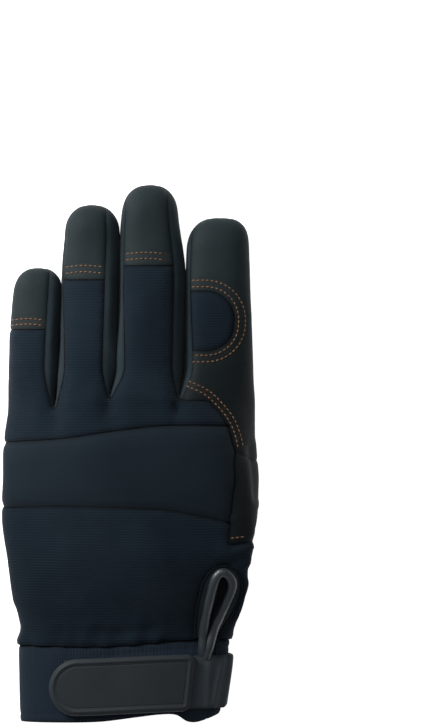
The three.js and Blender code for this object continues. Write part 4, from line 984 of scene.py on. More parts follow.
def thumb_path(seam, low, high, side):
    along = np.linspace(low, high, 60)
    across = read(seam, 1, along) * THUMB_WIDTH + side
    plan = THUMB_START + (along * THUMB_LENGTH)[:, None] * THUMB_ALONG
    return plan + across[:, None] * THUMB_ACROSS


STITCH_ROWS["stitches_strip"] = ("under", "leather", thumb_path(STRIP_SEAM, -0.2, 0.93, 1.4))
for row, gap in enumerate((1.3, 3.7)):
    path = thumb_path(PAD_SEAM, 0.16, 0.93, gap)
    STITCH_ROWS["stitches_pad_%d" % row] = ("under", "palm", path)
patch_curve = curve_through(PATCH[1:9], 70)
STITCH_ROWS["stitches_patch"] = ("under", "leather", beside(patch_curve, -1.5)[2:])
for row, y in enumerate((86.4, 83.8)):
    path = np.column_stack([np.linspace(36.0, 50.0, 16), np.full(16, y)])
    STITCH_ROWS["stitches_palm_%d" % row] = ("under", "palm", path)
print("stitch rows:", len(STITCH_ROWS))

# %% [markdown]
# ## Panels with turned edges
# Each panel is cut from the skin, drawn in a little from its seams, and given a wall. Its edges sink where they
# are sewn in, its middle swells a little, and the cloth puckers close to a seam and buckles softly further away.
# These forms are moved in the mesh itself, so they also hold from the side and in other lights.

# %% Panel forms
# skin piece: (node, slot, wall, sink at seams, width of the sink, crown, its reach, buckle height, buckle size, pucker)
PANELS = {
    "back_high": ("back_panel_upper", "knit", 1.0, 0.55, 1.7, 0.15, 6.0, 0.30, 16.0, 0.16),
    "band": ("knuckle_band", "neoprene", 1.4, 0.85, 3.4, 0.55, 9.0, 0.22, 26.0, 0.05),
    "back_low": ("back_panel_lower", "knit", 1.0, 0.55, 2.0, 0.1, 6.0, 0.42, 20.0, 0.16),
    "cap_little": ("tip_cap_little", "leather", 1.0, 0.28, 1.4, 0.1, 5.0, 0.2, 12.0, 0.08),
    "cap_ring": ("tip_cap_ring", "leather", 1.0, 0.28, 1.4, 0.1, 5.0, 0.2, 12.0, 0.08),
    "cap_middle": ("tip_cap_middle", "leather", 1.0, 0.28, 1.4, 0.1, 5.0, 0.2, 12.0, 0.08),
    "index_leather": ("index_overlay", "leather", 1.0, 0.35, 1.4, 0.1, 5.0, 0.16, 14.0, 0.06),
    "index_window": ("index_window", "knit", 1.0, 0.6, 2.0, 0.1, 5.0, 0.14, 12.0, 0.08),
    "wall_0": ("side_wall_little_ring", "side_wall", 0.9, 0.35, 1.5, 0.1, 3.0, 0.16, 12.0, 0.12),
    "wall_1": ("side_wall_ring_middle", "side_wall", 0.9, 0.35, 1.5, 0.1, 3.0, 0.16, 12.0, 0.12),
    "wall_2": ("side_wall_middle_index", "side_wall", 0.9, 0.35, 1.5, 0.1, 3.0, 0.16, 12.0, 0.12),
    "palm": ("palm_panel", "palm", 1.0, 0.45, 1.8, 0.0, 6.0, 0.34, 17.0, 0.1),
    "thumb_strip": ("thumb_crotch_strip", "leather", 1.0, 0.35, 1.4, 0.1, 5.0, 0.18, 12.0, 0.06),
    "thumb_floor": ("thumb_back", "knit", 1.0, 0.5, 1.6, 0.1, 5.0, 0.22, 14.0, 0.1),
    "thumb_pad": ("thumb_pad", "palm", 1.0, 0.45, 1.8, 0.1, 6.0, 0.26, 14.0, 0.1),
    "thumb_patch": ("thumb_base_patch", "leather", 1.0, 0.4, 1.6, 0.15, 5.0, 0.16, 14.0, 0.06),
}
PANEL_GAP = 0.14
CHANNEL_DEPTH, CHANNEL_WIDTH = 0.28, 0.9
PUCKER_SIZE, PUCKER_REACH = 3.0, 4.0
EDGE_STEP = 0.4


def cloth_noise(places, size, seed):
    """Smooth noise from -1 to 1, one value for each place, with features of this size in millimetres."""
    shift = Vector((seed * 17.3, seed * 5.1, seed * 9.7))
    return np.array([noise.noise(Vector(p) / size + shift) for p in places.tolist()])


def seam_gaps(edges, places):
    """Distance from every place to the nearest edge of the panel."""
    samples = []
    for a, b in edges:
        steps = max(int(np.linalg.norm(b - a) / EDGE_STEP), 1)
        samples += [lerp(a, b, k / steps) for k in range(steps)]
    tree = KDTree(len(samples))
    for k, place in enumerate(samples):
        tree.insert(place, k)
    tree.balance()
    return np.array([tree.find(p)[2] for p in places.tolist()])


def channel_gaps(places, normals):
    """Distance in plan from the stitch rows on the same side of the glove."""
    gaps = np.full(len(places), 99.0)
    for side, _, path in STITCH_ROWS.values():
        facing = normals[:, 2] > 0.25 if side == "top" else normals[:, 2] < -0.25
        low, high = path.min(axis=0) - 4, path.max(axis=0) + 4
        near = facing & np.all((places[:, :2] > low) & (places[:, :2] < high), axis=1)
        spots = places[near][:, :2]
        if len(spots) == 0:
            continue
        best = np.full(len(spots), 99.0)
        for a, b in zip(path, path[1:]):
            run = b - a
            away = spots - a
            t = np.clip(away @ run / max(run @ run, 1e-9), 0, 1)
            best = np.minimum(best, np.linalg.norm(away - t[:, None] * run, axis=1))
        gaps[near] = np.minimum(gaps[near], best)
    return gaps


# Creases on the back, in plan: corners, depth and half width
CREASES_ON_BACK = [
    ([(53.0, 86.5), (54.2, 80.0), (55.3, 70.0), (55.6, 64.0)], 1.0, 1.3),
    ([(44.5, 42.5), (50.0, 44.8), (56.0, 45.6)], 0.55, 1.5),
    ([(41.0, 34.0), (47.0, 38.2), (54.5, 40.0)], 0.6, 1.8),
    ([(44.0, 24.0), (48.5, 29.0), (53.0, 31.5)], 0.45, 1.8),
    ([(-33.5, 100.0), (-32.6, 96.8)], 0.5, 0.9),
    ([(-31.6, 99.0), (-30.9, 96.2)], 0.4, 0.8),
    ([(-9.8, 105.0), (-9.0, 101.8)], 0.5, 0.9),
    ([(-7.6, 104.6), (-7.2, 102.4)], 0.4, 0.8),
    ([(20.0, 106.0), (21.2, 102.0)], 0.6, 1.0),
    ([(23.4, 105.0), (24.0, 101.2)], 0.5, 0.9),
    ([(-50.0, 14.0), (-38.0, 11.0), (-20.0, 10.5)], 0.25, 2.4),
    ([(-30.0, 5.5), (-8.0, 4.0), (12.0, 6.0)], 0.3, 2.0),
]


def crease_rise(places, normals):
    """How far the drawn creases lower the cloth at each place."""
    rise = np.zeros(len(places))
    for corners, depth, reach in CREASES_ON_BACK:
        best = np.full(len(places), 99.0)
        for a, b in zip(np.array(corners), np.array(corners)[1:]):
            run = b - a
            away = places[:, :2] - a
            t = np.clip(away @ run / (run @ run), 0, 1)
            best = np.minimum(best, np.linalg.norm(away - t[:, None] * run, axis=1))
        valley = np.exp(-((best / reach) ** 2))
        ridge = np.exp(-(((best - 2.1 * reach) / reach) ** 2))
        rise += np.where(normals[:, 2] > 0, depth * (0.45 * ridge - valley), 0.0)
    return rise


def to_frame(places):
    return (np.asarray(places) + MODEL_ORIGIN) * MM


def new_piece(name, places, corner_lists, marks=None, sharp=55.0):
    """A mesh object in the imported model's frame, from places in millimetres."""
    mesh = bpy.data.meshes.new(name)
    mesh.from_pydata(to_frame(places).tolist(), [], corner_lists)
    mesh.validate()
    mesh.shade_smooth()
    mesh.set_sharp_from_angle(angle=math.radians(sharp))
    for key, values in (marks or {}).items():
        field = mesh.attributes.new(key, "FLOAT", "POINT")
        field.data.foreach_set("value", np.asarray(values, dtype=np.float32))
    piece = bpy.data.objects.new(name, mesh)
    bpy.context.scene.collection.objects.link(piece)
    return piece


# %% Cutting out the panels
def sheet_lists(rows, columns):
    """Faces of a closed sheet whose outer grid comes before its inner grid."""
    size = rows * columns
    spot = lambda side, r, c: side * size + r * columns + c
    lists = []
    for r in range(rows - 1):
        for c in range(columns - 1):
            lists.append([spot(0, r, c), spot(0, r, c + 1), spot(0, r + 1, c + 1), spot(0, r + 1, c)])
            lists.append([spot(1, r, c), spot(1, r + 1, c), spot(1, r + 1, c + 1), spot(1, r, c + 1)])
    last = rows - 1
    for c in range(columns - 1):
        lists.append([spot(0, 0, c + 1), spot(0, 0, c), spot(1, 0, c), spot(1, 0, c + 1)])
        lists.append([spot(0, last, c), spot(0, last, c + 1), spot(1, last, c + 1), spot(1, last, c)])
    last = columns - 1
    for r in range(rows - 1):
        lists.append([spot(0, r, 0), spot(0, r + 1, 0), spot(1, r + 1, 0), spot(1, r, 0)])
        lists.append([spot(0, r + 1, last), spot(0, r, last), spot(1, r, last), spot(1, r + 1, last)])
    return lists


outer_skins = []


def make_panel(skin_piece, seed):
    node, slot, wall, sink, sink_width, crown, crown_reach, buckle, buckle_size, pucker = PANELS[skin_piece]
    chosen = [c for owner, c in faces if owner == skin_piece]
    ids = sorted({k for c in chosen for k in c})
    local = {k: i for i, k in enumerate(ids)}
    lists = [[local[k] for k in c] for c in chosen]
    places, normals = skin[ids], skin_normals[ids]
    half_edges = {(a, b) for c in lists for a, b in zip(c, c[1:] + c[:1])}
    rim = [(a, b) for a, b in half_edges if (b, a) not in half_edges]
    rim.sort()
    inward = np.zeros_like(places)
    for a, b in rim:
        run = places[b] - places[a]
        for k in (a, b):
            side = np.cross(normals[k], run)
            inward[k] += side / max(np.linalg.norm(side), 1e-9)
    on_rim = np.zeros(len(places), dtype=bool)
    on_rim[[k for pair in rim for k in pair]] = True
    length = np.maximum(np.linalg.norm(inward, axis=1), 1e-6)
    reach = np.minimum(PANEL_GAP / length, PANEL_GAP * 0.85)
    gaps = seam_gaps([(places[a], places[b]) for a, b in rim], places)
    channels = channel_gaps(places, normals)
    rise = -sink * (1 - smooth(gaps / sink_width)) + crown * smooth(gaps / crown_reach)
    rise += buckle * cloth_noise(places, buckle_size, seed) * smooth(gaps / 5)
    rise += buckle * 0.4 * cloth_noise(places, buckle_size * 0.4, seed + 31) * smooth(gaps / 4)
    rise += pucker * cloth_noise(places, PUCKER_SIZE, seed + 57) * np.exp(-((gaps / PUCKER_REACH) ** 2))
    rise -= CHANNEL_DEPTH * np.exp(-((channels / CHANNEL_WIDTH) ** 2))
    rise += crease_rise(places, normals)
    outer = places + normals * rise[:, None]
    outer[on_rim] += inward[on_rim] * (reach / length)[on_rim, None]
    outer[:, 2] = np.maximum(outer[:, 2], 0.0)
    inner = outer - normals * np.where(on_rim, wall * 0.7, wall)[:, None]
    size = len(places)
    all_lists = lists + [[k + size for k in reversed(c)] for c in lists]
    all_lists += [[b, a, a + size, b + size] for a, b in rim]
    marks = {"seam": np.tile(gaps, 2), "channel": np.tile(channels, 2)}
    piece = new_piece("cloth_" + node, np.vstack([outer, inner]), all_lists, marks)
    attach(piece, "root")
    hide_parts(node)
    outer_skins.append((outer, lists))
    print("%-26s %6d faces, highest %.1f mm" % (node, len(all_lists), outer[:, 2].max()))
    return piece


panel_pieces = {name: make_panel(name, seed) for seed, name in enumerate(PANELS)}

# %% [markdown]
# ## Lining
# A work glove's back has a thin lining sewn in with the seams. It also keeps the light out where panels meet.

# %% Lining
LINING_DEPTH, LINING_WALL = 3.0, 0.4
lining_rows = list(range(1, LAST_ROW - 1, 2))
lining_ids = np.array([hand[r][4 : 4 * N - 3 : 2] for r in lining_rows])
lining_outer = skin[lining_ids] - skin_normals[lining_ids] * LINING_DEPTH
lining_inner = skin[lining_ids] - skin_normals[lining_ids] * (LINING_DEPTH + LINING_WALL)
lining_places = np.vstack([lining_outer.reshape(-1, 3), lining_inner.reshape(-1, 3)])
lining_marks = {key: np.full(len(lining_places), 99.0) for key in ("seam", "channel")}
lining = new_piece("back_lining", lining_places, sheet_lists(*lining_ids.shape), lining_marks)
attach(lining, "root")

# %% [markdown]
# ## Cuff
# The cuff is a wide elastic band, sewn on under the knit and open at the wrist's thumb side, where the strap
# passes. It is one sheet round an oval, with a turned hem at its lower end and slight gathers at the seam.

# %% Cuff
CUFF_WALL = 2.0
# share of the length from the seam, left edge, right edge, share of the depth
CUFF_SECTIONS = [(-0.1, -1.05, 0.93, 1.0), (0.3, -1.055, 0.905, 1.0), (1.0, -1.04, 0.83, 0.97)]
CUFF_SPLIT = (32.5, 391.0)
CUFF_ROWS, CUFF_COLUMNS = 32, 260
HEM_AT, HEM_WIDTH = 3.6, 0.8


def cuff_surface(y, angle, out):
    """A place on the cuff's outside, lifted by out along its outward direction."""
    y, angle, out = np.broadcast_arrays(np.asarray(y, float), np.asarray(angle, float), np.asarray(out, float))
    at = np.clip(-y / CUFF_LENGTH, -0.1, 1)
    left = read(CUFF_SECTIONS, 1, at) * CUFF_WIDTH / 2
    right = read(CUFF_SECTIONS, 2, at) * CUFF_WIDTH / 2
    depth = read(CUFF_SECTIONS, 3, at) * CUFF_DEPTH
    centre, reach = (left + right) / 2, (right - left) / 2
    x, z = section_point(centre, reach, depth, angle)
    x0, z0 = section_point(centre, reach, depth, angle - 1.5)
    x1, z1 = section_point(centre, reach, depth, angle + 1.5)
    length = np.maximum(np.hypot(x1 - x0, z1 - z0), 1e-9)
    return np.stack([x + (z1 - z0) / length * out, y, z - (x1 - x0) / length * out], axis=-1)


cuff_angles = np.linspace(CUFF_SPLIT[0], CUFF_SPLIT[1], CUFF_COLUMNS)
edge_x = cuff_surface(-CUFF_LENGTH / 2, cuff_angles, 0)[:, 0] / (CUFF_WIDTH / 2)
cuff_top = read(CUFF_EDGES, 1, edge_x) * CUFF_LENGTH + SEAM_GAP * 0.3
cuff_end = read(CUFF_EDGES, 2, edge_x) * CUFF_LENGTH
TUCK_ROWS, TUCK_LENGTH, TUCK_DEPTH = 4, 3.4, 2.1
tuck = np.linspace(TUCK_LENGTH, 0, TUCK_ROWS, endpoint=False)[:, None]
shares = np.linspace(0, 1, CUFF_ROWS)[:, None]
cuff_y = np.vstack([cuff_top + tuck, lerp(cuff_top[None, :], cuff_end[None, :], shares)])
angle_grid = np.broadcast_to(cuff_angles, cuff_y.shape)
to_seam, to_hem = cuff_top[None, :] - cuff_y, cuff_y - cuff_end[None, :]
flat_grid = cuff_surface(cuff_y, angle_grid, 0).reshape(-1, 3)
ripple = cloth_noise(flat_grid * (1.6, 0.35, 1.6), 5.0, 3).reshape(cuff_y.shape)
broad = cloth_noise(flat_grid, 22.0, 8).reshape(cuff_y.shape)
cuff_out = 0.3 * ripple * np.exp(-((to_seam / 7) ** 2)) + 0.3 * broad
cuff_out = cuff_out - 0.35 * (1 - smooth(to_seam / 1.2)) - 0.4 * (1 - smooth(to_hem / 1.2))
cuff_out = np.where(to_seam < -0.01, -TUCK_DEPTH, cuff_out)
cuff_out = cuff_out - 0.3 * np.exp(-(((to_seam - 3.4) / 0.8) ** 2)) * (edge_x > -0.3)
cuff_out = cuff_out - 0.22 * np.exp(-(((to_hem - HEM_AT) / HEM_WIDTH) ** 2))
cuff_outer = cuff_surface(cuff_y, angle_grid, cuff_out)
cuff_outer[..., 2] = np.maximum(cuff_outer[..., 2], 0.0)
cuff_inner = cuff_surface(cuff_y, angle_grid, cuff_out - CUFF_WALL)
cuff_places = np.vstack([cuff_outer.reshape(-1, 3), cuff_inner.reshape(-1, 3)])
cuff_gaps = np.maximum(np.minimum(to_seam, to_hem), 0)
cuff_marks = {"seam": np.tile(cuff_gaps.ravel(), 2), "channel": np.full(len(cuff_places), 99.0)}
cuff_marks["around"] = np.tile((angle_grid / 360 * 2 * (CUFF_WIDTH + CUFF_DEPTH)).ravel(), 2)
cuff_piece = new_piece("cloth_cuff_band", cuff_places, sheet_lists(len(cuff_y), CUFF_COLUMNS), cuff_marks)
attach(cuff_piece, "root")
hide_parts("cuff_band")
print("cuff length, mm: %.1f to %.1f" % ((cuff_top - cuff_end).min(), (cuff_top - cuff_end).max()))

# %% [markdown]
# ## Strap
# The strap is sewn to the cuff at the thumb side, comes over the wrist's edge and ends under the moulded tab. It
# creases where it bends over the edge. It follows the cuff's own surface, lifted by its gap, so it can't sink in.

# %% Strap
STRAP_START, STRAP_WIDTH, STRAP_WALL = -24.0, 23.6, 1.5
TILT_RISE = 2.2
TAB_LENGTH, TAB_WIDTH, TAB_WALL = 63.4, 25.4, 1.8
TAB_RIGHT, TAB_MIDDLE = 0.583, -0.556
STRAP_MIDDLE = TAB_MIDDLE * CUFF_LENGTH
path_angles = np.arange(STRAP_START, 151.0, 0.5)
path_places = cuff_surface(-CUFF_LENGTH / 2, path_angles, LAY_GAP + STRAP_WALL / 2)
path_run = np.concatenate([[0], np.cumsum(np.linalg.norm(np.diff(path_places, axis=0), axis=1))])


def strap_angle(s):
    return np.interp(s, path_run, path_angles)


above_edge = np.nonzero((path_angles > 20) & (path_places[:, 0] < TAB_RIGHT * CUFF_WIDTH / 2))[0][0]
TAB_RIGHT_RUN = path_run[above_edge]
STRAP_END_RUN = TAB_RIGHT_RUN + TAB_LENGTH * 0.9
STRAP_COLUMNS, STRAP_ROWS = 150, 26
# place along the strap, height and half width of each crease across it
CREASES = [(3.2, 0.6, 1.2), (6.8, 0.6, 1.3), (10.8, 0.75, 1.4), (15.2, 0.75, 1.3), (19.5, 0.55, 1.5)]

strap_run = np.linspace(0, STRAP_END_RUN, STRAP_COLUMNS)
strap_v = np.linspace(-0.5, 0.5, STRAP_ROWS) * STRAP_WIDTH
run_grid, v_grid = np.meshgrid(strap_run, strap_v)
crease = np.zeros_like(run_grid)
for place, height, reach in CREASES:
    if place < TAB_RIGHT_RUN - 1.5:
        bend = place + 0.9 * np.sin(v_grid / 9 + place)
        crease += height * np.exp(-(((run_grid - bend) / reach) ** 2))
to_side = STRAP_WIDTH / 2 - np.abs(v_grid)
strap_out = LAY_GAP + STRAP_WALL + crease - 0.55 * (1 - smooth(to_side / 1.3))
strap_tilt = TILT_RISE * (1 - smooth((run_grid - TAB_RIGHT_RUN) / TAB_LENGTH))
strap_y = STRAP_MIDDLE + v_grid + strap_tilt
strap_outer = cuff_surface(strap_y, strap_angle(run_grid), strap_out)[:, ::-1]
strap_inner = cuff_surface(strap_y, strap_angle(run_grid), np.full_like(run_grid, LAY_GAP))[:, ::-1]
strap_places = np.vstack([strap_outer.reshape(-1, 3), strap_inner.reshape(-1, 3)])
strap_marks = {"seam": np.tile(to_side[:, ::-1].ravel(), 2), "channel": np.full(len(strap_places), 99.0)}
strap_piece = new_piece("cloth_closure_strap", strap_places, sheet_lists(STRAP_ROWS, STRAP_COLUMNS), strap_marks)
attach(strap_piece, "root")
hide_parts("closure_strap")
print("strap, mm:", round(STRAP_END_RUN, 1), "x", STRAP_WIDTH)

# %% [markdown]
# ## Tab
# A tab of soft rubber is moulded onto the strap's end. It has a rounded outer edge, a raised rim set in from it and
# a fine groove inside the rim. Its middle is left plain. Rings of its outline, each drawn in a little further and
# set at its own height, make such a moulding with few measures.

# %% Tab
TAB_LIFT = LAY_GAP * 2 + STRAP_WALL
TAB_CORNER = 3.5
TAB_ARC, TAB_SIDE = 28, 40
# inset from the outline, height over the strap
TAB_PROFILE = [(0.35, 0.0), (0.0, 0.35), (0.0, 0.8), (0.2, 1.2), (0.5, 1.42), (0.9, 1.5), (1.1, 1.55), (1.3, 1.7)]
TAB_PROFILE += [(1.6, 1.82), (2.1, 1.82), (2.4, 1.72), (2.6, 1.55), (2.9, 1.5), (3.2, 1.5), (3.35, 1.36)]
TAB_PROFILE += [(3.55, 1.36), (3.75, 1.5)]


def tab_outline(inset):
    half = TAB_WIDTH / 2
    round_size = half - inset
    upper = []
    for a in np.radians(np.linspace(3, 90, TAB_ARC)):
        upper.append((TAB_LENGTH - half + round_size * math.cos(a), round_size * math.sin(a)))
    for t in np.linspace(0, 1, TAB_SIDE)[1:]:
        upper.append((lerp(TAB_LENGTH - half, TAB_CORNER + inset * 0.4, t), round_size))
    corner = max(TAB_CORNER - inset, 0.5)
    for a in np.radians(np.linspace(0, 90, 9))[1:]:
        upper.append((inset + corner - corner * math.sin(a), round_size - corner + corner * math.cos(a)))
    return np.array(upper)


def tab_spot(run, across, out):
    tilt = TILT_RISE * (1 - smooth(run / TAB_LENGTH))
    return cuff_surface(STRAP_MIDDLE + across + tilt, strap_angle(TAB_RIGHT_RUN + run), TAB_LIFT + out)


tab_places, tab_lists, tab_loops = [], [], []
for inset, height in TAB_PROFILE:
    upper = tab_outline(inset)
    loop = np.vstack([upper, upper[::-1] * (1, -1)])
    tab_loops.append(list(range(len(tab_places), len(tab_places) + len(loop))))
    tab_places.extend(tab_spot(loop[:, 0], loop[:, 1], np.full(len(loop), height)))
for low, high in zip(tab_loops, tab_loops[1:]):
    for k in range(len(low)):
        q = (k + 1) % len(low)
        tab_lists.append([low[q], low[k], high[k], high[q]])
TAB_FILL = 12


def fill_loop(loop, inset, height, flip):
    """Strips between the outline's two sides close the middle of a ring."""
    upper = tab_outline(inset)
    columns = []
    for k in range(len(upper)):
        across = lerp(upper[k][1], -upper[k][1], np.arange(1, TAB_FILL) / TAB_FILL)
        first = len(tab_places)
        tab_places.extend(tab_spot(np.full(len(across), upper[k][0]), across, np.full(len(across), height)))
        columns.append([loop[k], *range(first, first + len(across)), loop[len(loop) - 1 - k]])
    for left, right in zip(columns, columns[1:]):
        for r in range(TAB_FILL):
            corners = [left[r], left[r + 1], right[r + 1], right[r]]
            tab_lists.append(corners if flip else corners[::-1])


fill_loop(tab_loops[-1], TAB_PROFILE[-1][0], TAB_PROFILE[-1][1], False)
fill_loop(tab_loops[0], TAB_PROFILE[0][0], TAB_PROFILE[0][1], True)
tab_piece = new_piece("moulded_strap_tab", np.array(tab_places), tab_lists, sharp=70.0)
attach(tab_piece, "root")
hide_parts("strap_tab")
print("tab faces:", len(tab_lists))

# %% [markdown]
# ## Wrist vent
# A slit in the knit lets the wrist open. A thin facing lies under it, a thick glossy roll runs round it, and the
# knit's edge shows as a fine raised line further out. The roll is a tube along a curve that lies on the skin.

# %% Vent
skin_tree = BVHTree.FromPolygons(skin.tolist(), [c for _, c in faces])
VENT_LOW_Y = 2.2
VENT_STEPS = 90
ROLL_DIAMETER = 4.2
FACING_WALL, FACING_LAP, FACING_LOW = 0.8, 1.0, 0.02


def on_skin(x, y, out):
    place, normal, _, _ = skin_tree.ray_cast(Vector((x, max(y, VENT_LOW_Y), 90.0)), Vector((0, 0, -1)))
    if place is None:
        place, normal, _, _ = skin_tree.find_nearest(Vector((x, max(y, VENT_LOW_Y), 20.0)))
    return np.array([x, y, place.z]) + np.array(normal) * out, np.array(normal)


at = np.linspace(0, len(ROLL) - 1, VENT_STEPS)
roll_table = [(i, x * HALF, y * HAND_LENGTH) for i, (x, y) in enumerate(ROLL)]
edge_table = [(i, x * HALF, y * HAND_LENGTH) for i, (x, y) in enumerate(VENT[1:-1])]
roll_plan = np.column_stack([read(roll_table, 1, at), read(roll_table, 2, at)])
edge_plan = np.column_stack([read(edge_table, 1, at), read(edge_table, 2, at)])
vent_gap = np.linalg.norm(edge_plan - roll_plan, axis=1)
vent_away = (edge_plan - roll_plan) / vent_gap[:, None]
facing_shares = np.linspace(0, 1, 9)
facing_outer, facing_inner = [], []
for share in facing_shares:
    for k in range(VENT_STEPS):
        reach = lerp(-ROLL_DIAMETER * 0.5, vent_gap[k] + FACING_LAP, share)
        x, y = roll_plan[k] + vent_away[k] * reach
        y = max(y, FACING_LOW * HAND_LENGTH)
        raised = smooth(share / 0.2) * (1 - smooth((share - 0.7) / 0.25))
        sunk = lerp(-KNIT_WALL - LAY_GAP, 0.25, raised)
        facing_outer.append(on_skin(x, y, sunk)[0])
        facing_inner.append(on_skin(x, y, sunk - FACING_WALL)[0])
facing_lists = sheet_lists(len(facing_shares), VENT_STEPS)
facing_places = np.array(facing_outer + facing_inner)
facing_marks = {key: np.full(len(facing_places), 99.0) for key in ("seam", "channel")}
facing_piece = new_piece("cloth_vent_facing", facing_places, facing_lists, facing_marks)
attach(facing_piece, "root")
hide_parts("vent_facing")


def tube(name, centres, ups, radii, sides=16):
    """A closed tube along centres, thin or thick as its radii say, with a flat face over each end."""
    centres, ups = np.array(centres), np.array(ups)
    run = np.gradient(centres, axis=0)
    run /= np.maximum(np.linalg.norm(run, axis=1), 1e-9)[:, None]
    side = np.cross(run, ups)
    side /= np.maximum(np.linalg.norm(side, axis=1), 1e-9)[:, None]
    up = np.cross(side, run)
    turn = np.radians(np.arange(sides) * 360 / sides)
    ring = side[:, None, :] * np.cos(turn)[None, :, None] + up[:, None, :] * np.sin(turn)[None, :, None]
    places = (centres[:, None, :] + ring * np.asarray(radii)[:, None, None]).reshape(-1, 3)
    lists = []
    for k in range(len(centres) - 1):
        for c in range(sides):
            a, b = k * sides + c, k * sides + (c + 1) % sides
            lists.append([b, a, a + sides, b + sides])
    last = (len(centres) - 1) * sides
    lists.append(list(range(sides)))
    lists.append([last + c for c in reversed(range(sides))])
    return new_piece(name, places, lists, sharp=80.0)


centres, ups = [], []
for k in range(VENT_STEPS):
    over = 1.3 * float(smooth((k / VENT_STEPS - 0.84) / 0.12))
    under = 2.4 * float(smooth((-roll_plan[k, 1] - 2.6) / 3.4))
    place, normal = on_skin(roll_plan[k, 0], roll_plan[k, 1], ROLL_DIAMETER / 2 - KNIT_WALL + over - under)
    centres.append(place)
    ups.append(normal)
centres = np.array(centres)
for _ in range(6):
    centres[1:-1] = lerp(centres[1:-1], (centres[:-2] + centres[2:]) / 2, 0.5)
ups = np.array(ups)
for _ in range(20):
    ups[1:-1] = lerp(ups[1:-1], (ups[:-2] + ups[2:]) / 2, 0.5)
way = np.linspace(0, 1, VENT_STEPS)
swell = 1 + 0.06 * np.sin(way * 40) * np.sin(way * 17 + 1)
roll_piece = tube("rolled_vent_binding", centres, ups, ROLL_DIAMETER / 2 * swell, 20)
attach(roll_piece, "root")
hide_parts("vent_binding")

PIPING_RADIUS = 0.5
centres, ups = [], []
for k in range(VENT_STEPS):
    x, y = roll_plan[k] + vent_away[k] * (vent_gap[k] - 0.2)
    place, normal = on_skin(x, max(y, 1.2), 0.1)
    centres.append(place)
    ups.append(normal)
piping = tube("piping_vent", centres, ups, np.full(VENT_STEPS, PIPING_RADIUS), 10)
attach(piping, "root")
print("vent roll, mm: %.1f long" % np.linalg.norm(np.diff(roll_plan, axis=0), axis=1).sum())

# %% [markdown]
# ## Stitches
# Thread of a warm brown shows on the leather in short runs. Each stitch is a small rounded grain that dips into the
# cloth at both ends. A ray finds the cloth under it, so the row follows every fold of the finished panels.

# %% Stitches
STITCH_PITCH, STITCH_LENGTH, STITCH_WIDTH, STITCH_HEIGHT = 2.1, 1.6, 0.56, 0.55
STITCH_RINGS, STITCH_SIDES = 7, 8
joined_places, joined_lists = [], []
for places, lists in outer_skins:
    first = len(joined_places)
    joined_places.extend(places.tolist())
    joined_lists.extend([[k + first for k in c] for c in lists])
cloth_tree = BVHTree.FromPolygons(joined_places, joined_lists)


def on_cloth(x, y, side):
    start, aim = (90.0, -1) if side == "top" else (-90.0, 1)
    place, normal, _, _ = cloth_tree.ray_cast(Vector((x, y, start)), Vector((0, 0, aim)))
    if place is None:
        return None
    return np.array(place), np.array(normal)


def stitch_row(name, side, path):
    steps = np.linalg.norm(np.diff(path, axis=0), axis=1)
    run = np.concatenate([[0], np.cumsum(steps)])
    count = int(run[-1] // STITCH_PITCH)
    places, lists = [], []
    for k in range(count):
        ends = []
        for shift in (-0.5, 0.5):
            s = (k + 0.5) * STITCH_PITCH + shift * STITCH_LENGTH
            found = on_cloth(np.interp(s, run, path[:, 0]), np.interp(s, run, path[:, 1]), side)
            if found is not None:
                ends.append(found)
        if len(ends) < 2 or np.linalg.norm(ends[0][0] - ends[1][0]) > 2.4 * STITCH_LENGTH:
            continue
        (a, na), (b, nb) = ends
        up = (na + nb) / np.linalg.norm(na + nb)
        run_way = (b - a) / np.linalg.norm(b - a)
        across = np.cross(up, run_way)
        across /= np.linalg.norm(across)
        first = len(places)
        for r in range(STITCH_RINGS):
            t = (r + 0.5) / STITCH_RINGS
            full = math.sin(math.pi * t) ** 0.55
            centre = lerp(a, b, t) + up * (0.16 * math.sin(math.pi * t))
            for c in range(STITCH_SIDES):
                turn = 2 * math.pi * c / STITCH_SIDES
                side_reach = across * (math.cos(turn) * STITCH_WIDTH / 2 * full)
                places.append(centre + side_reach + up * (math.sin(turn) * STITCH_HEIGHT / 2 * full))
        for r in range(STITCH_RINGS - 1):
            for c in range(STITCH_SIDES):
                d = (c + 1) % STITCH_SIDES
                low, high = first + r * STITCH_SIDES, first + (r + 1) * STITCH_SIDES
                lists.append([low + c, low + d, high + d, high + c])
        lists.append([first + c for c in reversed(range(STITCH_SIDES))])
        last = first + (STITCH_RINGS - 1) * STITCH_SIDES
        lists.append([last + c for c in range(STITCH_SIDES)])
    if not places:
        print(name, "found no cloth")
        return None
    row = new_piece(name, np.array(places), lists, sharp=80.0)
    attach(row, "root")
    return row


stitch_pieces = []
for name, (side, slot, path) in STITCH_ROWS.items():
    row = stitch_row(name, side, path)
    if row is not None:
        stitch_pieces.append(row)
print("stitched rows:", len(stitch_pieces))

# %% [markdown]
# ## Shader maths
# Finishes are written as sums of masks. A small class holds one output socket, and its operators add Math nodes, so
# that a formula reads like one. Everything else comes from one method that names a node, its settings and inputs.

# %% Sockets as values


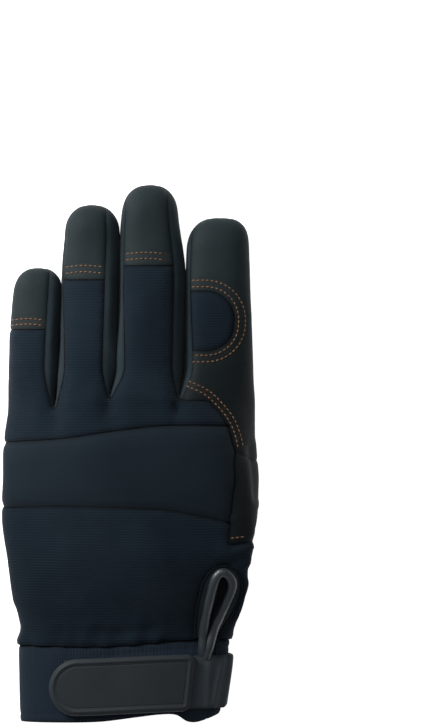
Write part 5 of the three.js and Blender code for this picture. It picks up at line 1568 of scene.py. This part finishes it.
class Wire:
    """One output socket of a paint, used like a number."""

    def __init__(self, paint, socket):
        self.paint = paint
        self.socket = socket

    def math(self, operation, *values):
        inputs = dict(enumerate(values))
        return self.paint.node("ShaderNodeMath", {"operation": operation}, inputs)

    def __add__(self, other):
        return self.math("ADD", self, other)

    def __radd__(self, other):
        return self.math("ADD", other, self)

    def __sub__(self, other):
        return self.math("SUBTRACT", self, other)

    def __rsub__(self, other):
        return self.math("SUBTRACT", other, self)

    def __mul__(self, other):
        return self.math("MULTIPLY", self, other)

    def __rmul__(self, other):
        return self.math("MULTIPLY", other, self)

    def __truediv__(self, other):
        return self.math("DIVIDE", self, other)

    def sine(self):
        return self.math("SINE", self)

    def floor(self):
        return self.math("FLOOR", self)

    def exp(self):
        return self.math("EXPONENT", self)

    def clamped(self):
        return self.paint.node("ShaderNodeClamp", {}, {"Value": self})


class Paint:
    """A material that is put together from nodes."""

    def __init__(self, name):
        self.material = bpy.data.materials.new(name)
        self.material.use_nodes = True
        self.tree = self.material.node_tree
        self.shader = self.tree.nodes["Principled BSDF"]

    def connect(self, target, value):
        if isinstance(value, Wire):
            self.tree.links.new(value.socket, target)
        elif target.type == "RGBA" and len(value) == 3:
            target.default_value = (*value, 1.0)
        else:
            target.default_value = value

    def node(self, kind, settings, inputs, output=0):
        made = self.tree.nodes.new(kind)
        for key, value in settings.items():
            setattr(made, key, value)
        for key, value in inputs.items():
            self.connect(made.inputs[key], value)
        return Wire(self, made.outputs[output])

    def place(self):
        """The place on the glove in millimetres."""
        spot = self.node("ShaderNodeTexCoord", {}, {}, "Object")
        return self.node("ShaderNodeVectorMath", {"operation": "SCALE"}, {0: spot, "Scale": 1000.0})

    def along(self, direction):
        way = {0: self.place(), 1: direction}
        return self.node("ShaderNodeVectorMath", {"operation": "DOT_PRODUCT"}, way, "Value")

    def mark(self, name):
        return self.node("ShaderNodeAttribute", {"attribute_name": name}, {}, "Fac")

    def grain(self, size, detail=2.0, roughness=0.5):
        """Noise from 0 to 1 with features of this size in millimetres."""
        inputs = {"Vector": self.place(), "Scale": 1.0 / size, "Detail": detail, "Roughness": roughness}
        return self.node("ShaderNodeTexNoise", {}, inputs, "Fac")

    def cells(self, size):
        inputs = {"Vector": self.place(), "Scale": 1.0 / size}
        return self.node("ShaderNodeTexVoronoi", {"feature": "DISTANCE_TO_EDGE"}, inputs, "Distance")

    def mix(self, factor, low, high):
        return self.node("ShaderNodeMix", {"data_type": "RGBA"}, {"Factor": factor, 6: low, 7: high}, 2)

    def bump(self, height, depth, strength=1.0):
        inputs = {"Height": height, "Distance": depth * MM, "Strength": strength}
        return self.node("ShaderNodeBump", {}, inputs, "Normal")

    def finish(self, **sockets):
        for key, value in sockets.items():
            self.connect(self.shader.inputs[key.replace("_", " ")], value)
        return self.material


# %% [markdown]
# ## Finishes
# All parts of the glove are nearly black, and they differ by gloss, by a blue or green cast and by their fine
# structure. Seams get a painted shade, because little light reaches them, and the cloth just beside them is painted
# paler, as rubbed cloth with a painted sheen on its turned shoulder.

# %% Colours
COLOURS = {
    "knit": ((0.0018, 0.005, 0.0088), (0.0068, 0.0135, 0.021)),
    "neoprene": ((0.0028, 0.0068, 0.0108), (0.0066, 0.0118, 0.0172)),
    "leather": ((0.0056, 0.0108, 0.0126), (0.0118, 0.0188, 0.0214)),
    "palm": ((0.003, 0.006, 0.008), (0.0085, 0.0135, 0.0165)),
    "side_wall": ((0.0075, 0.0145, 0.0185), (0.016, 0.026, 0.032)),
    "webbing": ((0.0045, 0.009, 0.015), (0.011, 0.018, 0.029)),
    "strap": ((0.016, 0.0215, 0.027), (0.032, 0.0405, 0.0485)),
    "tab": ((0.008, 0.0116, 0.0148), (0.0132, 0.0178, 0.0218)),
    "binding": ((0.006, 0.0095, 0.0135), (0.018, 0.025, 0.031)),
    "thread": ((0.075, 0.037, 0.019), (0.2, 0.11, 0.06)),
}


# The colour of the painted shade that darkens the leather towards the cuff.
LEATHER_IN_SHADE = (0.0002, 0.0016, 0.0023)
THREAD_SHADE = (0.03, 0.0165, 0.009)


def shaded(paint, slot, mask):
    """The slot's two colours by a mask, with painted shade in the seams and painted sheen and rubbing beside them."""
    seam = paint.mark("seam")
    seam_shade = (seam * -1.1).exp()
    rubbed_and_sheen = (seam * -0.55).exp() - seam_shade
    low, high = COLOURS[slot]
    colour = paint.mix((mask + rubbed_and_sheen * 0.5).clamped(), low, high)
    return paint.mix((seam_shade * 0.75).clamped(), colour, tuple(c * 0.25 for c in low))


def knit_paint(name, ribs, across):
    """Fine ribs of short dashes, one row shifted against the next."""
    paint = Paint(name)
    row = paint.along(ribs) / 1.2
    wander = paint.grain(9.0) * 1.6 + paint.grain(2.2) * 1.2
    rib = (row * (2 * math.pi) + wander).sine() * 0.5 + 0.5
    shifted = paint.along(across) / 2.3 + row.floor() * 0.5
    dash = (shifted * (2 * math.pi)).sine() * 0.5 + 0.5
    fuzz = paint.grain(0.35, 3.0)
    patchy = (paint.grain(4.0, 3.0) * 1.8 - 0.3).clamped()
    height = rib * patchy * 0.55 + rib * dash * 0.35 + fuzz * 0.6
    broad = paint.grain(24.0, 3.0)
    mask = (rib * patchy * 0.25 + fuzz * 0.5 + broad * 0.7 - 0.3).clamped()
    return paint.finish(
        Base_Color=shaded(paint, "knit", mask),
        Roughness=0.86 + fuzz * 0.1,
        Specular_IOR_Level=0.09,
        Normal=paint.bump(height, 0.16),
        Sheen_Weight=0.03,
    )


def cloth_paint(name, slot, weave, depth, gloss, broad_size=20.0):
    """Smooth cloth: a fine grain and slow changes of tone."""
    paint = Paint(name)
    fine = paint.grain(weave, 3.0)
    thread = (paint.along((0.0, 1.0, 0.0)) * (2 * math.pi / 0.7)).sine() * 0.5 + 0.5
    broad = paint.grain(broad_size, 3.0)
    mask = (fine * 0.4 + broad * 0.8 - 0.25).clamped()
    return paint.finish(
        Base_Color=shaded(paint, slot, mask),
        Roughness=0.78 + fine * 0.15,
        Specular_IOR_Level=gloss,
        Normal=paint.bump(fine * 0.8 + thread * 0.3, depth),
        Sheen_Weight=0.03,
    )


def leather_paint(name, slot, grain_size, depth, rough, gloss):
    """Pebbled leather: cell edges as creases, with a finer pore grain."""
    paint = Paint(name)
    crease = (paint.cells(grain_size) * 5.0).clamped()
    pores = paint.grain(0.3, 2.0)
    broad = paint.grain(18.0, 3.0)
    mask = (crease * 0.25 + pores * 0.25 + broad * 0.8 - 0.3).clamped()
    # Painted light and shade: the leather is painted lighter towards the fingertips and darker towards the cuff.
    wear_and_painted_light = ((paint.along((0.0, 1.0, 0.0)) - 35.0) / 45.0).clamped() * 0.7 + 0.3
    leather = paint.mix(wear_and_painted_light, LEATHER_IN_SHADE, shaded(paint, slot, mask))
    by_thread = (paint.mark("channel") * -3.2).exp() * 0.6
    return paint.finish(
        Base_Color=paint.mix(by_thread, leather, THREAD_SHADE),
        Roughness=rough + broad * 0.14,
        Specular_IOR_Level=gloss,
        Normal=paint.bump(crease * 0.7 + pores * 0.4, depth),
    )


def suede_paint(name):
    """Sueded cloth: a short nap that lies one way here and another way there."""
    paint = Paint(name)
    nap = paint.grain(0.28, 4.0, 0.65)
    brushed = paint.grain(13.0, 4.0, 0.6)
    mask = (nap * 0.5 + brushed * 0.9 - 0.35).clamped()
    return paint.finish(
        Base_Color=shaded(paint, "palm", mask),
        Roughness=0.93,
        Specular_IOR_Level=0.07,
        Normal=paint.bump(nap, 0.14),
        Sheen_Weight=0.06,
    )


def webbing_paint(name):
    """Elastic webbing: upright ribs round the wrist, crossed by finer threads."""
    paint = Paint(name)
    rib = (paint.mark("around") * (2 * math.pi / 1.15)).sine() * 0.5 + 0.5
    cross = (paint.along((0.0, 1.0, 0.0)) * (2 * math.pi / 0.62)).sine() * 0.5 + 0.5
    fuzz = paint.grain(0.4, 2.0)
    broad = paint.grain(26.0, 3.0)
    mask = (rib * 0.25 + fuzz * 0.35 + broad * 0.7 - 0.25).clamped()
    return paint.finish(
        Base_Color=shaded(paint, "webbing", mask),
        Roughness=0.85,
        Specular_IOR_Level=0.09,
        Normal=paint.bump(rib * 0.6 + cross * 0.3 + fuzz * 0.3, 0.12),
        Sheen_Weight=0.03,
    )


def rubber_paint(name):
    paint = Paint(name)
    fine = paint.grain(0.25, 2.0)
    broad = paint.grain(15.0, 3.0)
    low, high = COLOURS["tab"]
    return paint.finish(
        Base_Color=paint.mix((broad * 0.9 + fine * 0.2 - 0.05).clamped(), low, high),
        Roughness=0.55 + broad * 0.12,
        Specular_IOR_Level=0.2,
        Normal=paint.bump(fine, 0.05),
    )


def binding_paint(name):
    paint = Paint(name)
    fine = paint.grain(0.3, 2.0)
    line = (paint.along((0.8, 0.25, 0.5)) * (2 * math.pi / 1.0)).sine() * 0.5 + 0.5
    broad = paint.grain(10.0, 3.0)
    low, high = COLOURS["binding"]
    return paint.finish(
        Base_Color=paint.mix((broad * 0.8 + line * 0.2).clamped(), low, high),
        Roughness=0.34 + fine * 0.12,
        Specular_IOR_Level=0.5,
        Normal=paint.bump(line * 0.5 + fine * 0.5, 0.05),
    )


def thread_paint(name):
    paint = Paint(name)
    ply = (paint.along((0.7, 0.9, 0.2)) * (2 * math.pi / 0.42)).sine() * 0.5 + 0.5
    wear_and_painted_light = paint.grain(6.0, 3.0)
    low, high = COLOURS["thread"]
    return paint.finish(
        Base_Color=paint.mix((ply * 0.35 + wear_and_painted_light * 1.1 - 0.25).clamped(), low, high),
        Roughness=0.7,
        Specular_IOR_Level=0.25,
        Normal=paint.bump(ply, 0.06),
    )


# %% Giving each piece its finish
HAND_RIBS, HAND_ACROSS = (0.0, 1.0, 0.0), (1.0, 0.0, 0.9)
THUMB_RIBS = (float(THUMB_ALONG[0]), float(THUMB_ALONG[1]), 0.0)
THUMB_SIDE = (float(THUMB_ACROSS[0]), float(THUMB_ACROSS[1]), 0.9)
PAINTS = {
    "knit": knit_paint("ribbed_knit", HAND_RIBS, HAND_ACROSS),
    "thumb_knit": knit_paint("ribbed_knit_thumb", THUMB_RIBS, THUMB_SIDE),
    "neoprene": cloth_paint("padded_stretch_cloth", "neoprene", 0.32, 0.07, 0.1, 30.0),
    "leather": leather_paint("synthetic_leather", "leather", 0.9, 0.05, 0.62, 0.12),
    "palm": suede_paint("palm_suede"),
    "side_wall": cloth_paint("side_wall_cloth", "side_wall", 0.4, 0.07, 0.14, 14.0),
    "webbing": webbing_paint("elastic_webbing"),
    "strap": cloth_paint("strap_cloth", "strap", 0.5, 0.08, 0.18, 12.0),
    "tab": rubber_paint("moulded_rubber"),
    "binding": binding_paint("glossy_binding"),
    "thread": thread_paint("warm_brown_thread"),
}
for skin_piece, piece in panel_pieces.items():
    finish_name = "thumb_knit" if skin_piece == "thumb_floor" else PANELS[skin_piece][1]
    piece.data.materials.append(PAINTS[finish_name])
cuff_piece.data.materials.append(PAINTS["webbing"])
strap_piece.data.materials.append(PAINTS["strap"])
tab_piece.data.materials.append(PAINTS["tab"])
facing_piece.data.materials.append(PAINTS["side_wall"])
lining.data.materials.append(PAINTS["palm"])
roll_piece.data.materials.append(PAINTS["binding"])
piping.data.materials.append(PAINTS["knit"])
for row in stitch_pieces:
    row.data.materials.append(PAINTS["thread"])
print("finishes:", len(PAINTS))
